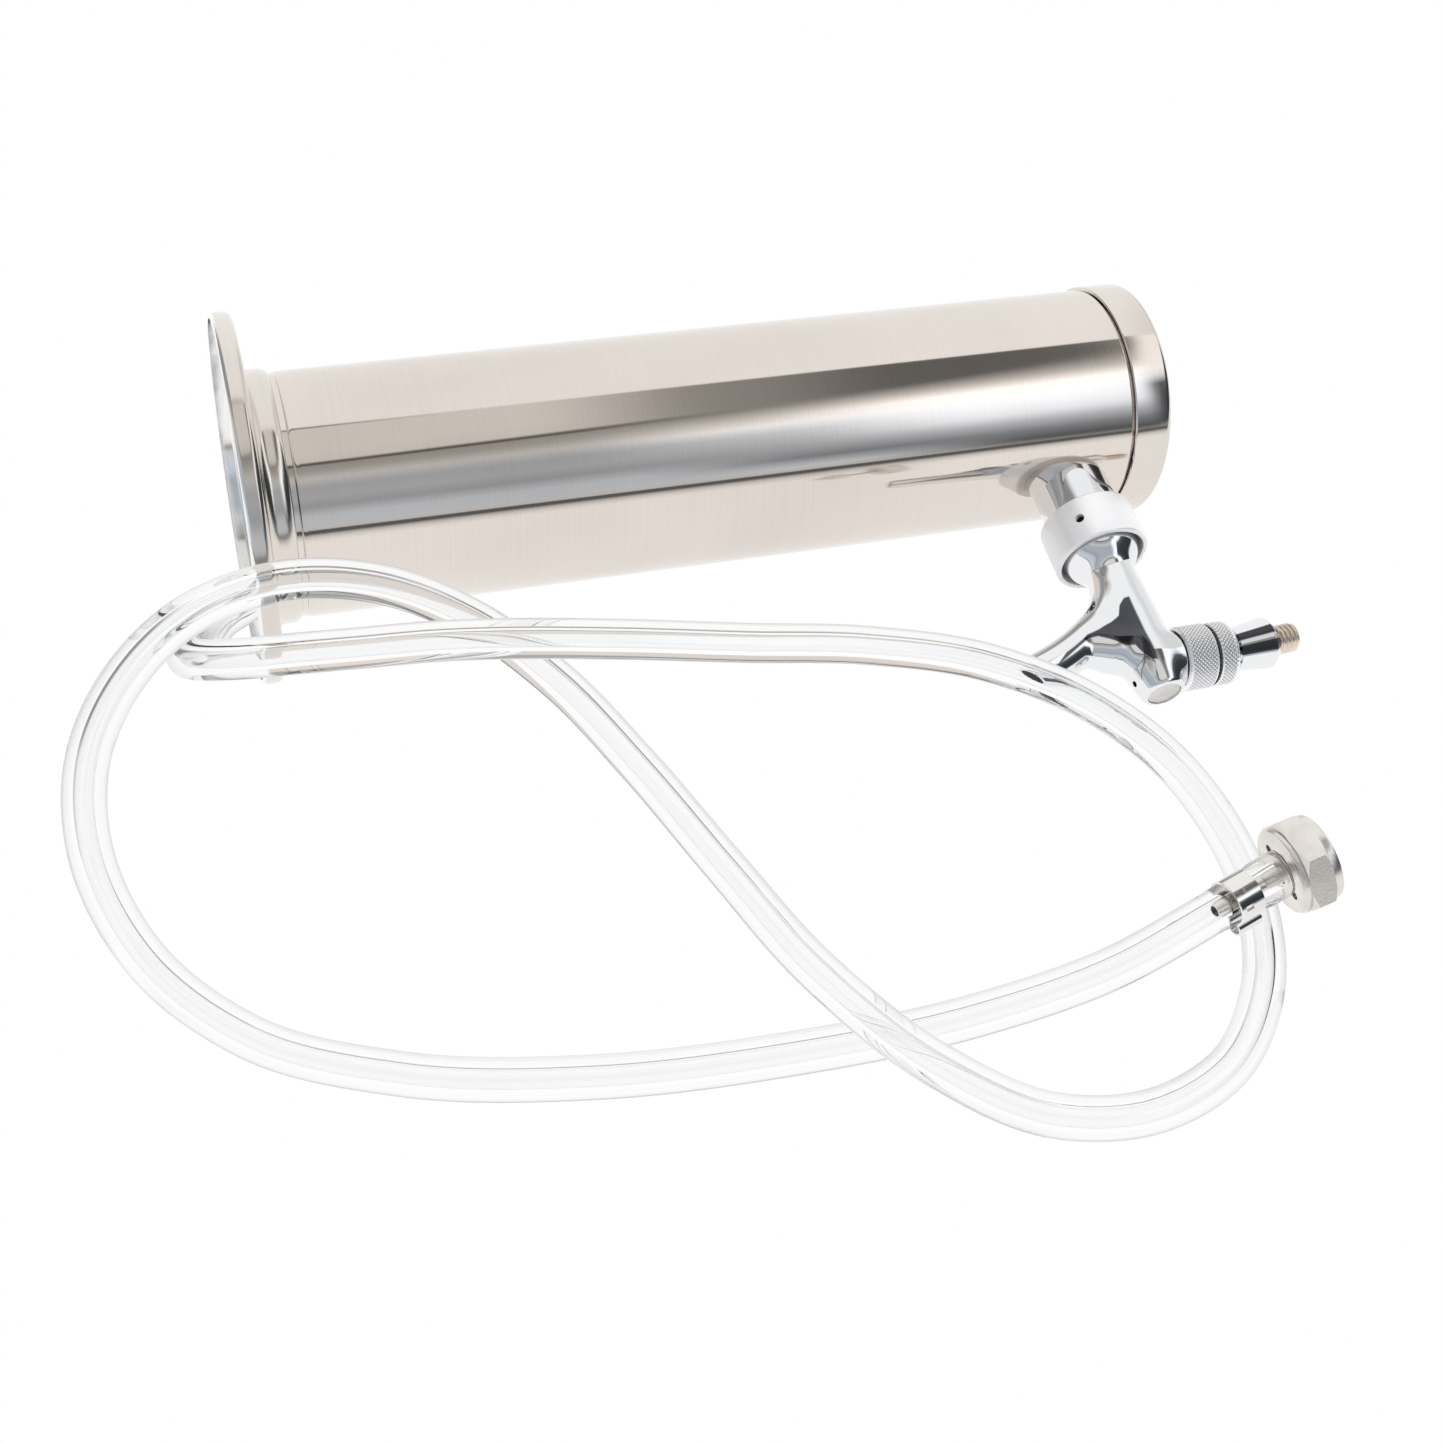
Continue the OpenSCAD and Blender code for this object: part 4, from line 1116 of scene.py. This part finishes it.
def make_floor():
    """White ground just below the object."""
    half, z = 6.0, -0.4 * MM
    mesh = bpy.data.meshes.new("floor")
    mesh.from_pydata([(-half, -half, z), (half, -half, z), (half, half, z), (-half, half, z)],
                     [], [(0, 1, 2, 3)])
    floor = new_object("floor", mesh)
    n = Nodes("floor")
    n.base(Base_Color=(0.82, 0.82, 0.82, 1), Roughness=0.6)
    path = n.add("ShaderNodeLightPath").outputs
    clear = n.math("MAXIMUM", path["Is Camera Ray"], path["Is Transmission Ray"])
    seen = n.math("MAXIMUM", clear, path["Is Glossy Ray"])
    glow = n.add("ShaderNodeEmission")
    # mirrors see the ground grow dim towards the room in front; the camera sees it white
    _, forward, _ = n.axes(n.add("ShaderNodeNewGeometry").outputs["Position"])
    dim = n.span(forward, 0.12, 1.0, -1.0, -0.30)
    n.link(n.math("MAXIMUM", clear, dim), glow.inputs["Strength"])
    mix = n.add("ShaderNodeMixShader")
    n.link(seen, mix.inputs[0])
    n.link(n.bsdf.outputs[0], mix.inputs[1])
    n.link(glow.outputs[0], mix.inputs[2])
    n.link(mix.outputs[0], n.tree.nodes["Material Output"].inputs["Surface"])
    mesh.materials.append(n.mat)


class World(Nodes):
    """The same short way, for the world's nodes."""

    def __init__(self):
        world = bpy.data.worlds.new("studio")
        bpy.context.scene.world = world
        world.use_nodes = True
        self.tree = world.node_tree


def make_world():
    """A pale studio: white behind, a softbox high on the right, a dim room in front."""
    w = World()
    x, y, z = w.axes(w.add("ShaderNodeTexCoord").outputs["Generated"])
    height = w.math("MULTIPLY_ADD", z, 0.5, 0.5)

    def spread(fac, stops):
        """A ramp whose places run from -1 to 1."""
        return w.ramp(fac, [(place * 0.5 + 0.5, value) for place, value in stops])

    def profile(stops):
        return spread(height, stops)

    # the room in front, in four strips from left to right: how bright it is at each height
    left = profile([(-0.26, 0.93), (-0.10, 0.56), (0.06, 0.66), (0.21, 0.64), (0.36, 0.40),
                    (0.485, 0.49), (0.615, 0.47), (0.72, 0.62), (0.80, 0.40), (0.842, 0.36),
                    (0.852, 0.10), (0.864, 0.10), (0.874, 0.71), (0.94, 0.75)])
    middle = profile([(-0.26, 0.93), (-0.10, 0.42), (0.06, 0.73), (0.20, 0.26), (0.34, 0.47),
                      (0.47, 0.60), (0.59, 0.77), (0.69, 1.15), (0.78, 0.68), (0.85, 0.30)])
    right = profile([(-0.24, 0.93), (-0.09, 0.58), (0.05, 0.11), (0.19, 0.28), (0.33, 0.62),
                     (0.45, 1.12), (0.56, 1.33), (0.66, 1.43), (0.745, 1.43), (0.81, 0.64),
                     (0.865, 0.135)])
    side = profile([(-0.15, 0.90), (-0.05, 0.76), (0.08, 0.04), (0.42, 0.05), (0.58, 0.12),
                    (0.66, 1.0), (0.72, 1.2), (0.84, 1.1), (0.90, 0.10)])
    front = w.mix(w.step(x, 0.235, 0.335), left, middle)
    front = w.mix(w.step(x, 0.33, 0.42), front, right)
    front = w.mix(w.step(x, 0.50, 0.55), front, side)
    # the room in front is cool, the light above it warm
    cast = profile([(-0.05, (1.0, 1.0, 1.0)), (0.12, (0.90, 0.99, 1.10)),
                    (0.60, (0.92, 0.99, 1.08)), (0.80, (1.02, 1.0, 0.97))])
    front = w.mix(1.0, front, cast, "MULTIPLY")
    # behind the object: white, with dark flags far to the left and the right
    width = w.math("MULTIPLY_ADD", x, 0.5, 0.5)
    behind = spread(width, [(-0.84, 0.60), (-0.76, 0.34), (-0.70, 0.28), (-0.52, 0.28),
                            (-0.42, 0.34), (-0.34, 0.65), (-0.22, 1.0), (0.50, 1.0),
                            (0.58, 0.86), (0.66, 0.78), (0.74, 0.78), (0.82, 0.90)])
    colour = w.mix(w.step(y, 0.095, 0.125), front, behind)
    # the thin gap between the softbox and the white wall, left of the middle
    gap = w.math("MULTIPLY", w.step(y, 0.070, 0.088), w.step(y, 0.118, 0.100))
    gap = w.math("MULTIPLY", gap, w.step(x, 0.22, 0.08))
    dark = w.math("MULTIPLY_ADD", gap, -0.75, 1.0)
    colour = w.mix(dark, (0.05, 0.05, 0.05, 1), colour)
    path = w.add("ShaderNodeLightPath").outputs
    seen = w.math("MAXIMUM", path["Is Camera Ray"], path["Is Transmission Ray"])
    w.link(w.mix(seen, colour, (1, 1, 1, 1)), w.tree.nodes["Background"].inputs["Color"])


def make_lights():
    """Two soft lamps that mirrors don't show, aimed at the middle of the object."""
    target = Vector((0, -0.05, 0))
    for name, place, size, watts in (("key", (0.55, -0.55, 0.95), 0.6, 6.0),
                                     ("fill", (-0.9, 0.5, 1.1), 0.8, 4.0)):
        data = bpy.data.lights.new(name, "AREA")
        data.size = size
        data.energy = watts
        lamp = new_object(name, data)
        lamp.location = place
        lamp.rotation_mode = "QUATERNION"
        lamp.rotation_quaternion = (Vector(place) - target).to_track_quat("Z", "Y")
        lamp.visible_glossy = False


make_floor()
make_world()
make_lights()
bpy.context.scene.view_settings.view_transform = "Standard"
